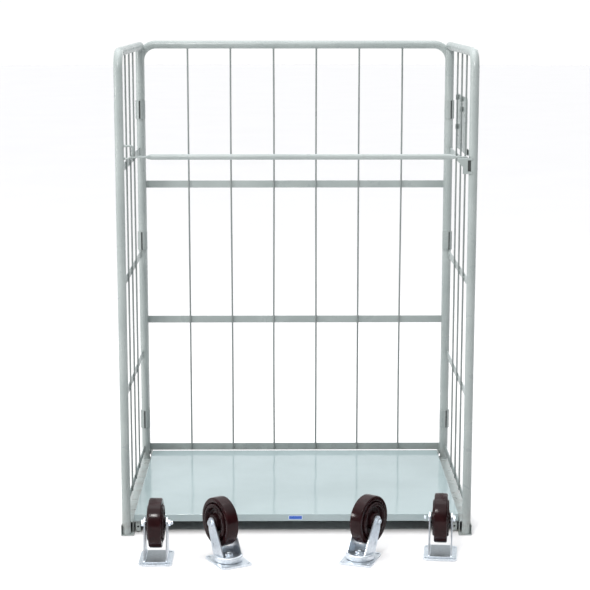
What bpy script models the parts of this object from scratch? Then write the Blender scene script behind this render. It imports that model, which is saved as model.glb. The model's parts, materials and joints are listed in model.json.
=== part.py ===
"""Roll cage container with its four casters standing loose in front of it.

Metres, +Z up. The open front of the cage faces -Y and the cage stands on the
floor at z = 0. The casters stand on their top plates, wheels up. The origin is
on the floor under the middle of the whole set.
"""

import math

import bmesh
import bpy
from mathutils import Matrix, Vector

GAP = 0.0003

# Cage, tube centre to tube centre
FRONT_Y = -0.2285
SIDE_X = 0.5364
SIDE_DEPTH = 0.745
BACK_SETBACK = 0.031
SIDE_TOP_Z = 1.5069
BACK_TOP_Z = 1.5110
BACK_FOOT_Z = 0.045
POST_R = 0.0136
BEND_R = 0.054
REAR_Y = FRONT_Y + SIDE_DEPTH
BACK_Y = REAR_Y + BACK_SETBACK

# Flat bars and wires that fill the frames
BAR_HEIGHT = 0.025
BAR_THICK = 0.003
WIRE_R = 0.003
BACK_BAR_Z = (0.0725, 0.542, 1.026)
BACK_WIRE_PITCH = 0.149
BACK_WIRES = 6
SIDE_BAR_Z = (0.074, 0.423, 0.784, 1.145)
SIDE_WIRE_PITCH = 0.134
SIDE_WIRES = 3
SIDE_GRID_OUT = 0.0061

# Hinge sleeves round the side frames' rear posts
SLEEVE_Z = (0.184, 0.830, 1.289)
SLEEVE_HEIGHT = 0.064
SLEEVE_WALL = 0.003
SLEEVE_SLOT = 0.005
SEAM_TURN_LEFT = -4.0
SEAM_TURN_RIGHT = 21.0

# Side sills, feet and caster mounting plates
SILL_INNER_X = 0.516
SILL_OUTER_X = 0.550
SILL_TOP_Z = 0.038
SILL_WALL = 0.0025
SILL_REAR = 0.020
FOOT_BASE = 0.003
FOOT_INNER_X = 0.512
FOOT_FLANGE_Z = 0.033
FOOT_FLANGE = 0.0022
FRONT_FOOT_REACH = 0.115
MOUNT_THICK = 0.004
MOUNT_WIDTH = 0.1087
MOUNT_LENGTH = 0.147
MOUNT_LIP = -0.0228
MOUNT_TONGUE_X = (0.4945, 0.5095)
MOUNT_TONGUE = 0.003
BOLT_HOLE_R = 0.0055
BOLT_PITCH_X = 0.080
BOLT_PITCH_Y = 0.105

# Deck
DECK_HALF_X = 0.5135
DECK_FRONT = -0.0148
DECK_REAR = 0.017
DECK_TOP_Z = 0.0615
DECK_LOW_Z = 0.0383
DECK_SHEET = 0.002
DECK_AXIS_Y = REAR_Y + 0.007
DECK_AXIS_Z = 0.0505
DECK_RELIEF_Z = 0.044
PIVOT_R = 0.0035
PIVOT_HOLE_R = 0.0040
LUG_CLEAR = 0.0015
LUG_SHEET = 0.003
LUG_HALF = 0.006
LUG_FRONT = 0.014
LUG_TOP_Z = 0.0585
RIB_WIDTH = 0.040
RIB_PLACES = (0.25, 0.50)
LABEL_SIZE = (0.044, 0.0006, 0.013)
LABEL_AT = (-0.003, 0.050)

# Retaining bar, its keeper on the left post and its catch on the right post
BAR_Z = 1.1935
BAR_R = 0.0085
BAR_ENDS = (-0.452, 0.480)
TAB_THICK = 0.0025
TAB_WIDTH = 0.024
TAB_LEFT_X = -0.507
TAB_RIGHT_X = 0.5180
TAB_LOW_Z = 1.1918
TAB_SLOT = (-0.5007, -0.4747)
TAB_SLOT_WIDTH = 0.008
KEEPER_X = -0.4967
KEEPER_Z = (1.1885, 1.227)
KEEPER_BEND = 0.004
CATCH_X = (0.5025, 0.5185)
CATCH_Z = (1.1425, 1.1915)
CATCH_HALF_Y = 0.0155
CATCH_SHEET = 0.003
CATCH_UPSTAND = 0.002
CATCH_LUG = 0.008

# Document holder hooked on the right side frame's wires
HOLDER_X = 0.5450
HOLDER_Y = (0.265, 0.555)
HOLDER_Z = (1.1725, 1.3545)
HOLDER_SHEET = 0.0015
HOLDER_LIP = 0.018
HOLDER_OUT_X = 0.553
HOOK_Z = (1.2224, 1.3423)
HOOK_HALF = 0.010
HOOK_SHEET = 0.002

# Casters, measured from the face of their top plate
WHEEL_R = 0.075
TYRE_WIDTH = 0.040
TYRE_DEPTH = 0.0195
HUB_LENGTH = 0.058
HUB_R = 0.021
AXLE_Z = 0.115
AXLE_R = 0.006
PLATE_SIZE = (0.132, 0.100, 0.0055)
PLATE_CORNER_R = 0.012
LEG_THICK = 0.0035
LEG_INNER = 0.031
FIXED_LEG_THICK = 0.0045
FIXED_LEG_OUTER = 0.0358
FIXED_LEG_MIDDLE = FIXED_LEG_OUTER - FIXED_LEG_THICK / 2
TRAIL = 0.044
RACE_R = 0.043
RACE_TOP_Z = 0.0135
CROWN_R = 0.041
CROWN_THICK = 0.004
CROWN_HOLE_R = 0.013
RACE_HOLE_R = 0.030
KINGPIN_R = 0.008
KINGPIN_NUT_R = 0.0145
AXLE_HEX_R = 0.0118
FIXED_BASE = 0.046
FIXED_HEAD_R = 0.017
SWIVEL_BASE = 0.0295
SWIVEL_HEAD_R = 0.017
SWIVEL_SHOULDER = (0.0245, 0.088)
SWIVEL_LEG_Y = LEG_INNER - LEG_THICK / 2 + 0.002
FIXED_CASTERS = {"left": (-0.4242, -0.2329, 90.0), "right": (0.4370, -0.1904, 263.3)}
SWIVEL_CASTERS = {
    "left": (-0.2065, -0.2552, 117.0, 124.3),
    "right": (0.1903, -0.2385, 72.0, 52.7),
}

ROUND = 28


def clear_scene():
    for thing in list(bpy.data.objects):
        bpy.data.objects.remove(thing, do_unlink=True)


def collection(name, hidden=False):
    made = bpy.data.collections.new(name)
    bpy.context.scene.collection.children.link(made)
    made.hide_render = hidden
    return made


clear_scene()
PARTS = collection("roll_cage_container")
CUTTERS = collection("cutters", hidden=True)


def material(name, color, roughness, metallic):
    made = bpy.data.materials.new(name)
    made.use_nodes = True
    shader = made.node_tree.nodes["Principled BSDF"]
    shader.inputs["Base Color"].default_value = (*color, 1.0)
    shader.inputs["Roughness"].default_value = roughness
    shader.inputs["Metallic"].default_value = metallic
    return made


FRAME_PAINT = material("frame_paint", (0.50, 0.56, 0.56), 0.35, 0.0)
DECK_PAINT = material("deck_paint", (0.60, 0.69, 0.70), 0.20, 0.0)
ZINC = material("zinc_plate", (0.72, 0.74, 0.76), 0.30, 1.0)
PHENOLIC = material("wheel_core", (0.035, 0.018, 0.016), 0.35, 0.0)
TYRE = material("tyre", (0.045, 0.022, 0.020), 0.28, 0.0)
LABEL_BLUE = material("label_blue", (0.02, 0.08, 0.42), 0.40, 0.0)


def place(thing, paint):
    """Put a finished piece among the parts, in its colour."""
    thing.data.materials.clear()
    thing.data.materials.append(paint)
    for holder in thing.users_collection:
        holder.objects.unlink(thing)
    PARTS.objects.link(thing)
    return thing


def hide_cutter(thing):
    for holder in thing.users_collection:
        holder.objects.unlink(thing)
    CUTTERS.objects.link(thing)
    thing.hide_render = True
    thing.display_type = "WIRE"
    return thing


def new_object(name, data):
    made = bpy.data.objects.new(name, data)
    PARTS.objects.link(made)
    return made


def box(name, low, high):
    """A box between two opposite corners, given in either order."""
    mesh = bpy.data.meshes.new(name)
    low, high = Vector(map(min, low, high)), Vector(map(max, low, high))
    form = bmesh.new()
    bmesh.ops.create_cube(form, size=1.0)
    bmesh.ops.scale(form, vec=high - low, verts=form.verts)
    bmesh.ops.translate(form, vec=(low + high) / 2, verts=form.verts)
    form.to_mesh(mesh)
    form.free()
    return new_object(name, mesh)


def rod(name, start, end, radius, sides=ROUND):
    """A straight round bar with flat ends."""
    start, end = Vector(start), Vector(end)
    run = end - start
    turn = Vector((0, 0, 1)).rotation_difference(run).to_matrix().to_4x4()
    mesh = bpy.data.meshes.new(name)
    form = bmesh.new()
    bmesh.ops.create_cone(
        form, cap_ends=True, segments=sides, radius1=radius, radius2=radius, depth=run.length
    )
    bmesh.ops.transform(form, matrix=Matrix.Translation((start + end) / 2) @ turn, verts=form.verts)
    form.to_mesh(mesh)
    form.free()
    mesh.shade_smooth()
    mesh.set_sharp_from_angle(angle=math.radians(50))
    return new_object(name, mesh)


def as_mesh(thing, name):
    """The mesh of a curve object, its end caps welded on."""
    bpy.context.view_layer.update()
    graph = bpy.context.evaluated_depsgraph_get()
    mesh = bpy.data.meshes.new_from_object(thing.evaluated_get(graph))
    form = bmesh.new()
    form.from_mesh(mesh)
    bmesh.ops.remove_doubles(form, verts=form.verts, dist=0.00001)
    bmesh.ops.recalc_face_normals(form, faces=form.faces)
    form.to_mesh(mesh)
    form.free()
    made = new_object(name, mesh)
    made.matrix_world = thing.matrix_world.copy()
    bpy.data.objects.remove(thing, do_unlink=True)
    return made


def bent_path(corners, radius, steps=5):
    """The corners of an open path, each inner one rounded to an arc."""
    corners = [Vector(corner) for corner in corners]
    points = [corners[0]]
    for before, corner, after in zip(corners, corners[1:], corners[2:]):
        come, leave = (before - corner).normalized(), (after - corner).normalized()
        middle = corner + (come + leave).normalized() * radius * math.sqrt(2)
        for step in range(steps + 1):
            angle = math.pi / 2 * step / steps
            points.append(middle - leave * radius * math.cos(angle) - come * radius * math.sin(angle))
    return points + [corners[-1]]


def bent_tube(name, corners, radius, bend, resolution=4):
    """A round tube or rod along a path with square, rounded bends."""
    curve = bpy.data.curves.new(name, "CURVE")
    curve.dimensions = "3D"
    curve.bevel_depth = radius
    curve.bevel_resolution = resolution
    curve.use_fill_caps = True
    points = bent_path(corners, bend)
    spline = curve.splines.new("POLY")
    spline.points.add(len(points) - 1)
    for slot, point in zip(spline.points, points):
        slot.co = (*point, 1.0)
        slot.radius = 1.0
    made = as_mesh(new_object(name + "_path", curve), name)
    made.data.shade_smooth()
    made.data.set_sharp_from_angle(angle=math.radians(50))
    return made


def arc(middle, radius, start, end, steps):
    """Points along an arc in a plane; the angles are in degrees."""
    angles = [math.radians(start + (end - start) * step / steps) for step in range(steps + 1)]
    return [(middle[0] + radius * math.cos(a), middle[1] + radius * math.sin(a)) for a in angles]


def plate(name, outline, thickness, matrix):
    """A flat outline made solid; its middle plane lies in the matrix's XY plane."""
    curve = bpy.data.curves.new(name, "CURVE")
    curve.dimensions = "2D"
    curve.fill_mode = "BOTH"
    curve.extrude = thickness / 2
    spline = curve.splines.new("POLY")
    spline.points.add(len(outline) - 1)
    for slot, point in zip(spline.points, outline):
        slot.co = (*point, 0.0, 1.0)
    spline.use_cyclic_u = True
    made = as_mesh(new_object(name + "_outline", curve), name)
    made.matrix_world = matrix
    return made


def turned(name, profile, matrix, sides=ROUND):
    """A profile (radius, height), outer side running down, turned about the matrix's Z axis."""
    mesh = bpy.data.meshes.new(name)
    form = bmesh.new()
    points = [form.verts.new((radius, 0.0, height)) for radius, height in profile]
    for start, end in zip(points, points[1:] + points[:1]):
        form.edges.new((start, end))
    form.to_mesh(mesh)
    form.free()
    made = new_object(name, mesh)
    made.matrix_world = matrix
    screw = made.modifiers.new("turn", "SCREW")
    screw.steps = sides
    screw.render_steps = sides
    screw.use_merge_vertices = True
    screw.merge_threshold = 0.00001
    screw.use_smooth_shade = True
    return made


def combine(thing, other, operation):
    """A Boolean with another object, which becomes a cutter."""
    step = thing.modifiers.new(operation.lower(), "BOOLEAN")
    step.operation = operation
    step.solver = "EXACT"
    step.object = hide_cutter(other)
    return thing


def weld(first, *others):
    for other in others:
        combine(first, other, "UNION")
    return first


def cut(thing, *cutters):
    for cutter in cutters:
        combine(thing, cutter, "DIFFERENCE")
    return thing


def joined(name, pieces):
    """Several pieces as one mesh, for a single Boolean."""
    form = bmesh.new()
    for piece in pieces:
        mesh = piece.data
        mesh.transform(piece.matrix_world)
        form.from_mesh(mesh)
        bpy.data.objects.remove(piece, do_unlink=True)
    mesh = bpy.data.meshes.new(name)
    form.to_mesh(mesh)
    form.free()
    return new_object(name, mesh)


def axis_empty(name, location):
    """An empty on a moving body's joint axis, which its pieces hang from."""
    made = bpy.data.objects.new(name, None)
    made.location = location
    PARTS.objects.link(made)
    bpy.context.view_layer.update()
    return made


def hang(parent, *pieces):
    for piece in pieces:
        piece.parent = parent
        piece.matrix_parent_inverse = parent.matrix_world.inverted()


def facing(axis, location):
    """A frame whose Z axis points along X, Y or Z and whose X axis stays level."""
    turns = {
        "X": Matrix(((0, 0, 1), (1, 0, 0), (0, 1, 0))),
        "Y": Matrix(((-1, 0, 0), (0, 0, 1), (0, 1, 0))),
        "Z": Matrix.Identity(3),
    }
    return Matrix.Translation(location) @ turns[axis].to_4x4()


# --- Back frame -----------------------------------------------------------


def back_frame():
    post_x = SIDE_X
    tube = bent_tube(
        "back_tube",
        [
            (-post_x, BACK_Y, BACK_FOOT_Z),
            (-post_x, BACK_Y, BACK_TOP_Z),
            (post_x, BACK_Y, BACK_TOP_Z),
            (post_x, BACK_Y, BACK_FOOT_Z),
        ],
        POST_R,
        BEND_R,
    )
    place(tube, FRAME_PAINT)

    reach = post_x - POST_R - GAP
    bars = [
        box(
            "bar",
            (-reach, BACK_Y - BAR_THICK / 2, z - BAR_HEIGHT / 2),
            (reach, BACK_Y + BAR_THICK / 2, z + BAR_HEIGHT / 2),
        )
        for z in BACK_BAR_Z
    ]
    wire_y = BACK_Y - BAR_THICK / 2 - WIRE_R + GAP
    wire_low = BACK_BAR_Z[0] - BAR_HEIGHT * 0.3
    wire_top = BACK_TOP_Z - POST_R - GAP
    wires = []
    for number in range(BACK_WIRES):
        x = (number - (BACK_WIRES - 1) / 2) * BACK_WIRE_PITCH
        wires.append(rod("wire", (x, wire_y, wire_low), (x, wire_y, wire_top), WIRE_R, 8))
    grid = joined("back_grid", bars)
    place(weld(grid, joined("back_wires", wires)), FRAME_PAINT)

    for side, sign in (("left", -1), ("right", 1)):
        for level, z in zip(("low", "mid", "top"), SLEEVE_Z):
            place(hinge_sleeve(f"hinge_{side}_{level}", sign, z), FRAME_PAINT)
        place(deck_lug(f"deck_lug_{side}", sign), FRAME_PAINT)


def hinge_sleeve(name, sign, z):
    """A strap rolled round the side frame's rear post, its seam near the front."""
    inner = POST_R + GAP
    outer = inner + SLEEVE_WALL
    half_seam = math.degrees(SLEEVE_SLOT / 2 / inner)
    seam = -90 + (SEAM_TURN_RIGHT if sign > 0 else SEAM_TURN_LEFT)
    start, end = seam + half_seam, seam + 360 - half_seam
    outline = arc((0, 0), outer, start, end, 30) + arc((0, 0), inner, end, start, 30)
    return plate(name, outline, SLEEVE_HEIGHT, facing("Z", (sign * SIDE_X, REAR_Y, z)))


def deck_lug(name, sign):
    """An ear on the back post that carries one of the deck's pivot pins."""
    low_z, high_z = BACK_FOOT_Z, LUG_TOP_Z
    inner_x = DECK_HALF_X + LUG_CLEAR
    outer_x = inner_x + LUG_SHEET
    overlap = LUG_SHEET / 3
    ear = box(
        name,
        (sign * inner_x, DECK_AXIS_Y - LUG_FRONT, low_z),
        (sign * outer_x, BACK_Y + LUG_HALF, high_z),
    )
    foot = box(
        name + "_foot",
        (sign * (outer_x - overlap), BACK_Y - LUG_HALF, low_z),
        (sign * (SIDE_X - POST_R - GAP), BACK_Y + LUG_HALF, high_z),
    )
    pin = rod(
        name + "_pin",
        (sign * (outer_x - overlap), DECK_AXIS_Y, DECK_AXIS_Z),
        (sign * (DECK_HALF_X - 2 * LUG_SHEET), DECK_AXIS_Y, DECK_AXIS_Z),
        PIVOT_R,
        12,
    )
    return weld(ear, foot, pin)


# --- Side frames ----------------------------------------------------------


def side_frame(side, sign):
    pieces = [
        front_post_and_rail(side, sign),
        rear_post(side, sign),
        side_grid(side, sign),
        side_sill(side, sign),
        foot(f"foot_{side}_front", sign, FRONT_Y - 0.016, FRONT_Y + FRONT_FOOT_REACH),
        foot(f"foot_{side}_rear", sign, REAR_Y - 0.095, REAR_Y + SILL_REAR),
        caster_mount(f"mount_{side}_front", sign, FRONT_Y - MOUNT_LIP, lip=True),
        caster_mount(f"mount_{side}_rear", sign, REAR_Y + SILL_REAR - MOUNT_LENGTH, lip=False),
    ]
    pieces += [bar_keeper()] if side == "left" else [bar_catch(), catch_back(), document_holder()]
    axis = axis_empty(f"{side}_side_axis", (sign * SIDE_X, REAR_Y, 0.0))
    hang(axis, *[place(piece, FRAME_PAINT) for piece in pieces])


def front_post_and_rail(side, sign):
    x = sign * SIDE_X
    rail_end = REAR_Y + POST_R * 0.66
    corners = [(x, FRONT_Y, FOOT_BASE + GAP), (x, FRONT_Y, SIDE_TOP_Z), (x, rail_end, SIDE_TOP_Z)]
    return bent_tube(f"{side}_post_and_rail", corners, POST_R, BEND_R)


def rear_post(side, sign):
    x = sign * SIDE_X
    low, high = SILL_TOP_Z + GAP, SIDE_TOP_Z - POST_R - GAP
    return rod(f"{side}_rear_post", (x, REAR_Y, low), (x, REAR_Y, high), POST_R, 12)


def side_grid(side, sign):
    """Flat bars between the posts, with the wires welded to their inner faces."""
    bar_x = SIDE_X + SIDE_GRID_OUT
    bars = [
        box(
            "bar",
            (sign * (bar_x - BAR_THICK / 2), FRONT_Y + POST_R, z - BAR_HEIGHT / 2),
            (sign * (bar_x + BAR_THICK / 2), REAR_Y - POST_R, z + BAR_HEIGHT / 2),
        )
        for z in SIDE_BAR_Z
    ]
    wire_x = sign * (bar_x - BAR_THICK / 2 - WIRE_R + GAP)
    wire_low = SIDE_BAR_Z[0] - BAR_HEIGHT * 0.1
    wire_top = SIDE_TOP_Z - POST_R - GAP
    wires = []
    for number in range(SIDE_WIRES):
        y = FRONT_Y + SIDE_DEPTH / 2 + (number - (SIDE_WIRES - 1) / 2) * SIDE_WIRE_PITCH
        wires.append(rod("wire", (wire_x, y, wire_low), (wire_x, y, wire_top), WIRE_R, 8))
    grid = joined(f"{side}_grid", bars)
    return weld(grid, joined(f"{side}_wires", wires))


def side_sill(side, sign):
    """An inverted channel from the front post to the rear foot."""
    inner, outer, wall = SILL_INNER_X, SILL_OUTER_X, SILL_WALL
    low, top = FOOT_BASE + GAP, SILL_TOP_Z
    outline = [
        (inner, low),
        (inner, top),
        (outer, top),
        (outer, low),
        (outer - wall, low),
        (outer - wall, top - wall),
        (inner + wall, top - wall),
        (inner + wall, low),
    ]
    start, end = FRONT_Y + POST_R + GAP, REAR_Y + SILL_REAR
    frame = facing("Y", (0, (start + end) / 2, 0))
    return plate(f"{side}_sill", [(-sign * x, z) for x, z in outline], end - start, frame)


def foot(name, sign, start, end):
    """A tray on the floor that the post and the sill stand in, its outer edge turned up."""
    inner, outer = FOOT_INNER_X, SILL_OUTER_X + GAP + FOOT_FLANGE
    outline = [
        (inner, 0.0),
        (outer, 0.0),
        (outer, FOOT_FLANGE_Z),
        (outer - FOOT_FLANGE, FOOT_FLANGE_Z),
        (outer - FOOT_FLANGE, FOOT_BASE),
        (inner, FOOT_BASE),
    ]
    frame = facing("Y", (0, (start + end) / 2, 0))
    return plate(name, [(-sign * x, z) for x, z in outline], end - start, frame)


def caster_mount(name, sign, start, lip):
    """The flat plate beside the sill that a caster bolts under."""
    outer_x = SILL_INNER_X - GAP
    inner_x = outer_x - MOUNT_WIDTH
    low, top = SILL_TOP_Z - MOUNT_THICK, SILL_TOP_Z
    made = box(name, (sign * inner_x, start, low), (sign * outer_x, start + MOUNT_LENGTH, top))
    if lip:
        tongue = box(
            name + "_lip",
            (sign * MOUNT_TONGUE_X[0], start, FOOT_BASE),
            (sign * MOUNT_TONGUE_X[1], start + MOUNT_TONGUE, top),
        )
        weld(made, tongue)
    middle_x = (inner_x + outer_x) / 2
    middle_y = start + MOUNT_LENGTH / 2
    drills = []
    for across in (-BOLT_PITCH_X / 2, BOLT_PITCH_X / 2):
        for along in (-BOLT_PITCH_Y / 2, BOLT_PITCH_Y / 2):
            x, y = sign * (middle_x + across), middle_y + along
            drills.append(rod("drill", (x, y, low - 0.01), (x, y, top + 0.01), BOLT_HOLE_R, 12))
    return cut(made, joined(name + "_drills", drills))


def bar_keeper():
    """The rod loop on the left front post that the retaining bar's slotted end rides on."""
    start_x = -(SIDE_X - POST_R - GAP)
    low, high = KEEPER_Z
    corners = [
        (start_x, FRONT_Y, high),
        (KEEPER_X, FRONT_Y, high),
        (KEEPER_X, FRONT_Y, low),
        (start_x, FRONT_Y, low),
    ]
    return bent_tube("bar_keeper", corners, WIRE_R, KEEPER_BEND, resolution=3)


def catch_wall(name, sign, wall_top):
    """An upright wall of the catch, with the two lugs that join it to the post."""
    inner, outer = CATCH_X
    low, top = CATCH_Z
    half, sheet = CATCH_HALF_Y, CATCH_SHEET
    post_face = SIDE_X - math.sqrt(POST_R**2 - (half - sheet) ** 2) - GAP
    y_out, y_in = FRONT_Y + sign * half, FRONT_Y + sign * (half - sheet)
    wall = box(name, (inner, y_out, low), (outer, y_in, wall_top))
    lugs = [
        box("catch_lug", (outer - sheet / 3, y_out, level), (post_face, y_in, level + CATCH_LUG))
        for level in (low, top - CATCH_LUG)
    ]
    return weld(wall, *lugs)


def bar_catch():
    """The bracket on the right front post: a front wall and the shelf that the bar's end lies on."""
    inner, outer = CATCH_X
    top = CATCH_Z[1]
    half, sheet = CATCH_HALF_Y, CATCH_SHEET
    wall = catch_wall("bar_catch", -1, top)
    shelf_front = FRONT_Y - half + sheet / 3
    shelf_rear = FRONT_Y + half - sheet - GAP
    shelf = box("catch_shelf", (inner, shelf_front, top - sheet), (outer, shelf_rear, top - GAP / 2))
    return weld(wall, shelf)


def catch_back():
    """The bracket's rear wall, which stands up behind the bar's end."""
    return catch_wall("catch_back", 1, CATCH_Z[1] + CATCH_UPSTAND)


def document_holder():
    """A sheet plate outside the wires, with a tray lip below and hooks over two wires."""
    low_y, high_y = FRONT_Y + HOLDER_Y[0], FRONT_Y + HOLDER_Y[1]
    low_z, high_z = HOLDER_Z
    sheet = HOLDER_SHEET
    tray_x = HOLDER_OUT_X
    back = box("document_holder", (HOLDER_X, low_y, low_z), (HOLDER_X + sheet, high_y, high_z))
    floor = box("holder_tray", (HOLDER_X, low_y, low_z), (tray_x, high_y, low_z + sheet))
    lip = box("holder_lip", (tray_x - sheet, low_y, low_z), (tray_x, high_y, low_z + HOLDER_LIP))
    hooks = []
    curl_x = SIDE_X + SIDE_GRID_OUT - BAR_THICK / 2 - 2 * WIRE_R - GAP
    for step in (0, 1):
        wire_y = FRONT_Y + SIDE_DEPTH / 2 + step * SIDE_WIRE_PITCH
        stem_y = wire_y + WIRE_R + GAP
        for z in HOOK_Z:
            stem = box(
                "hook_stem",
                (HOLDER_X + sheet / 2, stem_y, z - HOOK_HALF),
                (curl_x - HOOK_SHEET, stem_y + HOOK_SHEET, z + HOOK_HALF),
            )
            curl = box(
                "hook_curl",
                (curl_x - HOOK_SHEET, wire_y - WIRE_R - HOOK_SHEET / 2, z - HOOK_HALF),
                (curl_x, stem_y + HOOK_SHEET, z + HOOK_HALF),
            )
            hooks += [stem, curl]
    return weld(back, floor, lip, *hooks)


# --- Deck -----------------------------------------------------------------


def deck():
    axis = axis_empty("deck_axis", (0.0, DECK_AXIS_Y, DECK_AXIS_Z))
    front, rear = FRONT_Y - DECK_FRONT, REAR_Y + DECK_REAR
    sheet, below = DECK_SHEET, DECK_LOW_Z - 0.01
    pan = box("deck_pan", (-DECK_HALF_X, front, DECK_LOW_Z), (DECK_HALF_X, rear, DECK_TOP_Z))
    hollow = box(
        "deck_hollow",
        (-DECK_HALF_X + sheet, front + sheet, below),
        (DECK_HALF_X - sheet, rear - sheet, DECK_TOP_Z - sheet),
    )
    past = DECK_HALF_X + 0.1
    relief_front = DECK_AXIS_Y - sheet
    relief = box("deck_relief", (-past, relief_front, below), (past, rear + 0.01, DECK_RELIEF_Z))
    bore_ends = [(x, DECK_AXIS_Y, DECK_AXIS_Z) for x in (-past, past)]
    bore = rod("deck_bore", *bore_ends, PIVOT_HOLE_R, 12)
    place(cut(pan, hollow, relief, bore), DECK_PAINT)

    ribs = [
        place(deck_rib(number, FRONT_Y + y), DECK_PAINT) for number, y in enumerate(RIB_PLACES, 1)
    ]

    width, depth, height = LABEL_SIZE
    x, z = LABEL_AT
    face = front - GAP
    label_low = (x - width / 2, face - depth, z - height / 2)
    label_high = (x + width / 2, face, z + height / 2)
    label = place(box("deck_label", label_low, label_high), LABEL_BLUE)
    hang(axis, pan, *ribs, label)


def deck_rib(number, y):
    """A channel across the underside of the deck, open side down."""
    half, sheet = RIB_WIDTH / 2, DECK_SHEET
    low, top = DECK_LOW_Z + 0.0012, DECK_TOP_Z - DECK_SHEET - GAP
    outline = [
        (-half, low),
        (-half, top),
        (half, top),
        (half, low),
        (half - sheet, low),
        (half - sheet, top - sheet),
        (-half + sheet, top - sheet),
        (-half + sheet, low),
    ]
    length = 2 * (DECK_HALF_X - DECK_SHEET - GAP)
    return plate(f"deck_rib_{number}", outline, length, facing("X", (0, y, 0)))


# --- Retaining bar --------------------------------------------------------


def retaining_bar():
    """A round bar with flattened ends, the left one slotted over its keeper."""
    tab_top = TAB_LOW_Z + TAB_THICK
    ends = [(x, FRONT_Y, BAR_Z) for x in BAR_ENDS]
    bar = rod("retaining_bar", *ends, BAR_R, 16)
    half, overlap = TAB_WIDTH / 2, 0.01
    tabs = [
        box("bar_tab", (start, FRONT_Y - half, TAB_LOW_Z), (end, FRONT_Y + half, tab_top))
        for start, end in (
            (TAB_LEFT_X, BAR_ENDS[0] + overlap),
            (BAR_ENDS[1] - overlap, TAB_RIGHT_X),
        )
    ]
    slot = box(
        "bar_slot",
        (TAB_SLOT[0], FRONT_Y - TAB_SLOT_WIDTH / 2, TAB_LOW_Z - 0.01),
        (TAB_SLOT[1], FRONT_Y + TAB_SLOT_WIDTH / 2, tab_top + 0.01),
    )
    axis = axis_empty("retaining_bar_axis", (TAB_LEFT_X, FRONT_Y, TAB_LOW_Z))
    hang(axis, place(cut(weld(bar, *tabs), slot), FRAME_PAINT))


# --- Casters --------------------------------------------------------------


def spun(location, degrees):
    """A frame at a point, turned about the vertical."""
    return Matrix.Translation(location) @ Matrix.Rotation(math.radians(degrees), 4, "Z")


def caster_plate(name, frame):
    """The bolt-on plate, its corners rounded, lying face down on the floor."""
    length, width, thick = PLATE_SIZE
    corner = PLATE_CORNER_R
    outline = []
    for number, (sx, sy) in enumerate(((1, 1), (-1, 1), (-1, -1), (1, -1))):
        middle = (sx * (length / 2 - corner), sy * (width / 2 - corner))
        outline += arc(middle, corner, number * 90, number * 90 + 90, 4)
    made = plate(name, outline, thick, frame @ Matrix.Translation((0, 0, thick / 2)))
    drills = []
    for along in (-BOLT_PITCH_Y / 2, BOLT_PITCH_Y / 2):
        for across in (-BOLT_PITCH_X / 2, BOLT_PITCH_X / 2):
            start, end = (along, across, -thick), (along, across, 2 * thick)
            drills.append(rod("drill", frame @ Vector(start), frame @ Vector(end), BOLT_HOLE_R, 12))
    return place(cut(made, joined(name + "_drills", drills)), ZINC)


def fork_leg(name, frame, offset, base, low, axle_x, head_r, shoulder=None, thick=LEG_THICK):
    """One side plate of a fork: straight at the base, round at the axle.

    A shoulder is a half width and a height above which the plate narrows.
    """
    outline = [(base[0], low), (base[1], low)]
    below_left, below_right = outline
    if shoulder:
        half, height = shoulder
        middle = axle_x * (height - low) / (AXLE_Z - low)
        below_left, below_right = (middle - half, height), (middle + half, height)
        outline = [below_left, *outline, below_right]
    lean_right = math.degrees(math.atan2(axle_x + head_r - below_right[0], AXLE_Z - below_right[1]))
    lean_left = math.degrees(math.atan2(axle_x - head_r - below_left[0], AXLE_Z - below_left[1]))
    outline += arc((axle_x, AXLE_Z), head_r, -lean_right, 180 - lean_left, 10)
    standing = frame @ Matrix.Translation((0, offset, 0)) @ Matrix.Rotation(math.pi / 2, 4, "X")
    return plate(name, outline, thick, standing)


def axle_bore(name, frame, axle_x):
    reach = LEG_INNER + 0.02
    start, end = (axle_x, -reach, AXLE_Z), (axle_x, reach, AXLE_Z)
    return rod(name, frame @ Vector(start), frame @ Vector(end), AXLE_R + GAP, 16)


def fixed_fork(name, frame):
    """A bent-up U: a web lying on the plate between two side plates."""
    low = PLATE_SIZE[2] + GAP
    half_length, half_width = FIXED_BASE, FIXED_LEG_MIDDLE
    top = low + FIXED_LEG_THICK
    web = box(name, (-half_length, -half_width, low), (half_length, half_width, top))
    web.data.transform(frame)
    base = (-half_length + 0.002, half_length - 0.002)
    shape = (base, low + 0.001, 0.0, FIXED_HEAD_R, None, FIXED_LEG_THICK)
    legs = [fork_leg(name + "_leg", frame, sign * half_width, *shape) for sign in (-1, 1)]
    return place(cut(weld(web, *legs), axle_bore(name + "_bore", frame, 0.0)), ZINC)


def swivel_fork(name, frame):
    """A round crown over the ball race, with two side plates that lean to the axle."""
    low = RACE_TOP_Z + GAP
    crown = turned(
        name,
        [
            (CROWN_HOLE_R, low + CROWN_THICK),
            (CROWN_R, low + CROWN_THICK),
            (CROWN_R, low),
            (CROWN_HOLE_R, low),
        ],
        frame,
    )
    base = (-SWIVEL_BASE, SWIVEL_BASE)
    shape = (base, low + 0.001, TRAIL, SWIVEL_HEAD_R, SWIVEL_SHOULDER)
    legs = [fork_leg(name + "_leg", frame, sign * SWIVEL_LEG_Y, *shape) for sign in (-1, 1)]
    return place(cut(weld(crown, *legs), axle_bore(name + "_bore", frame, TRAIL)), ZINC)


def ball_race(name, frame):
    """The lower race, a ring round the kingpin on the plate."""
    low, top = PLATE_SIZE[2] + GAP, RACE_TOP_Z
    profile = [
        (RACE_HOLE_R, top),
        (RACE_R - 0.002, top),
        (RACE_R, top - 0.002),
        (RACE_R, low),
        (RACE_HOLE_R, low),
    ]
    return place(turned(name, profile, frame), ZINC)


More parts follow.
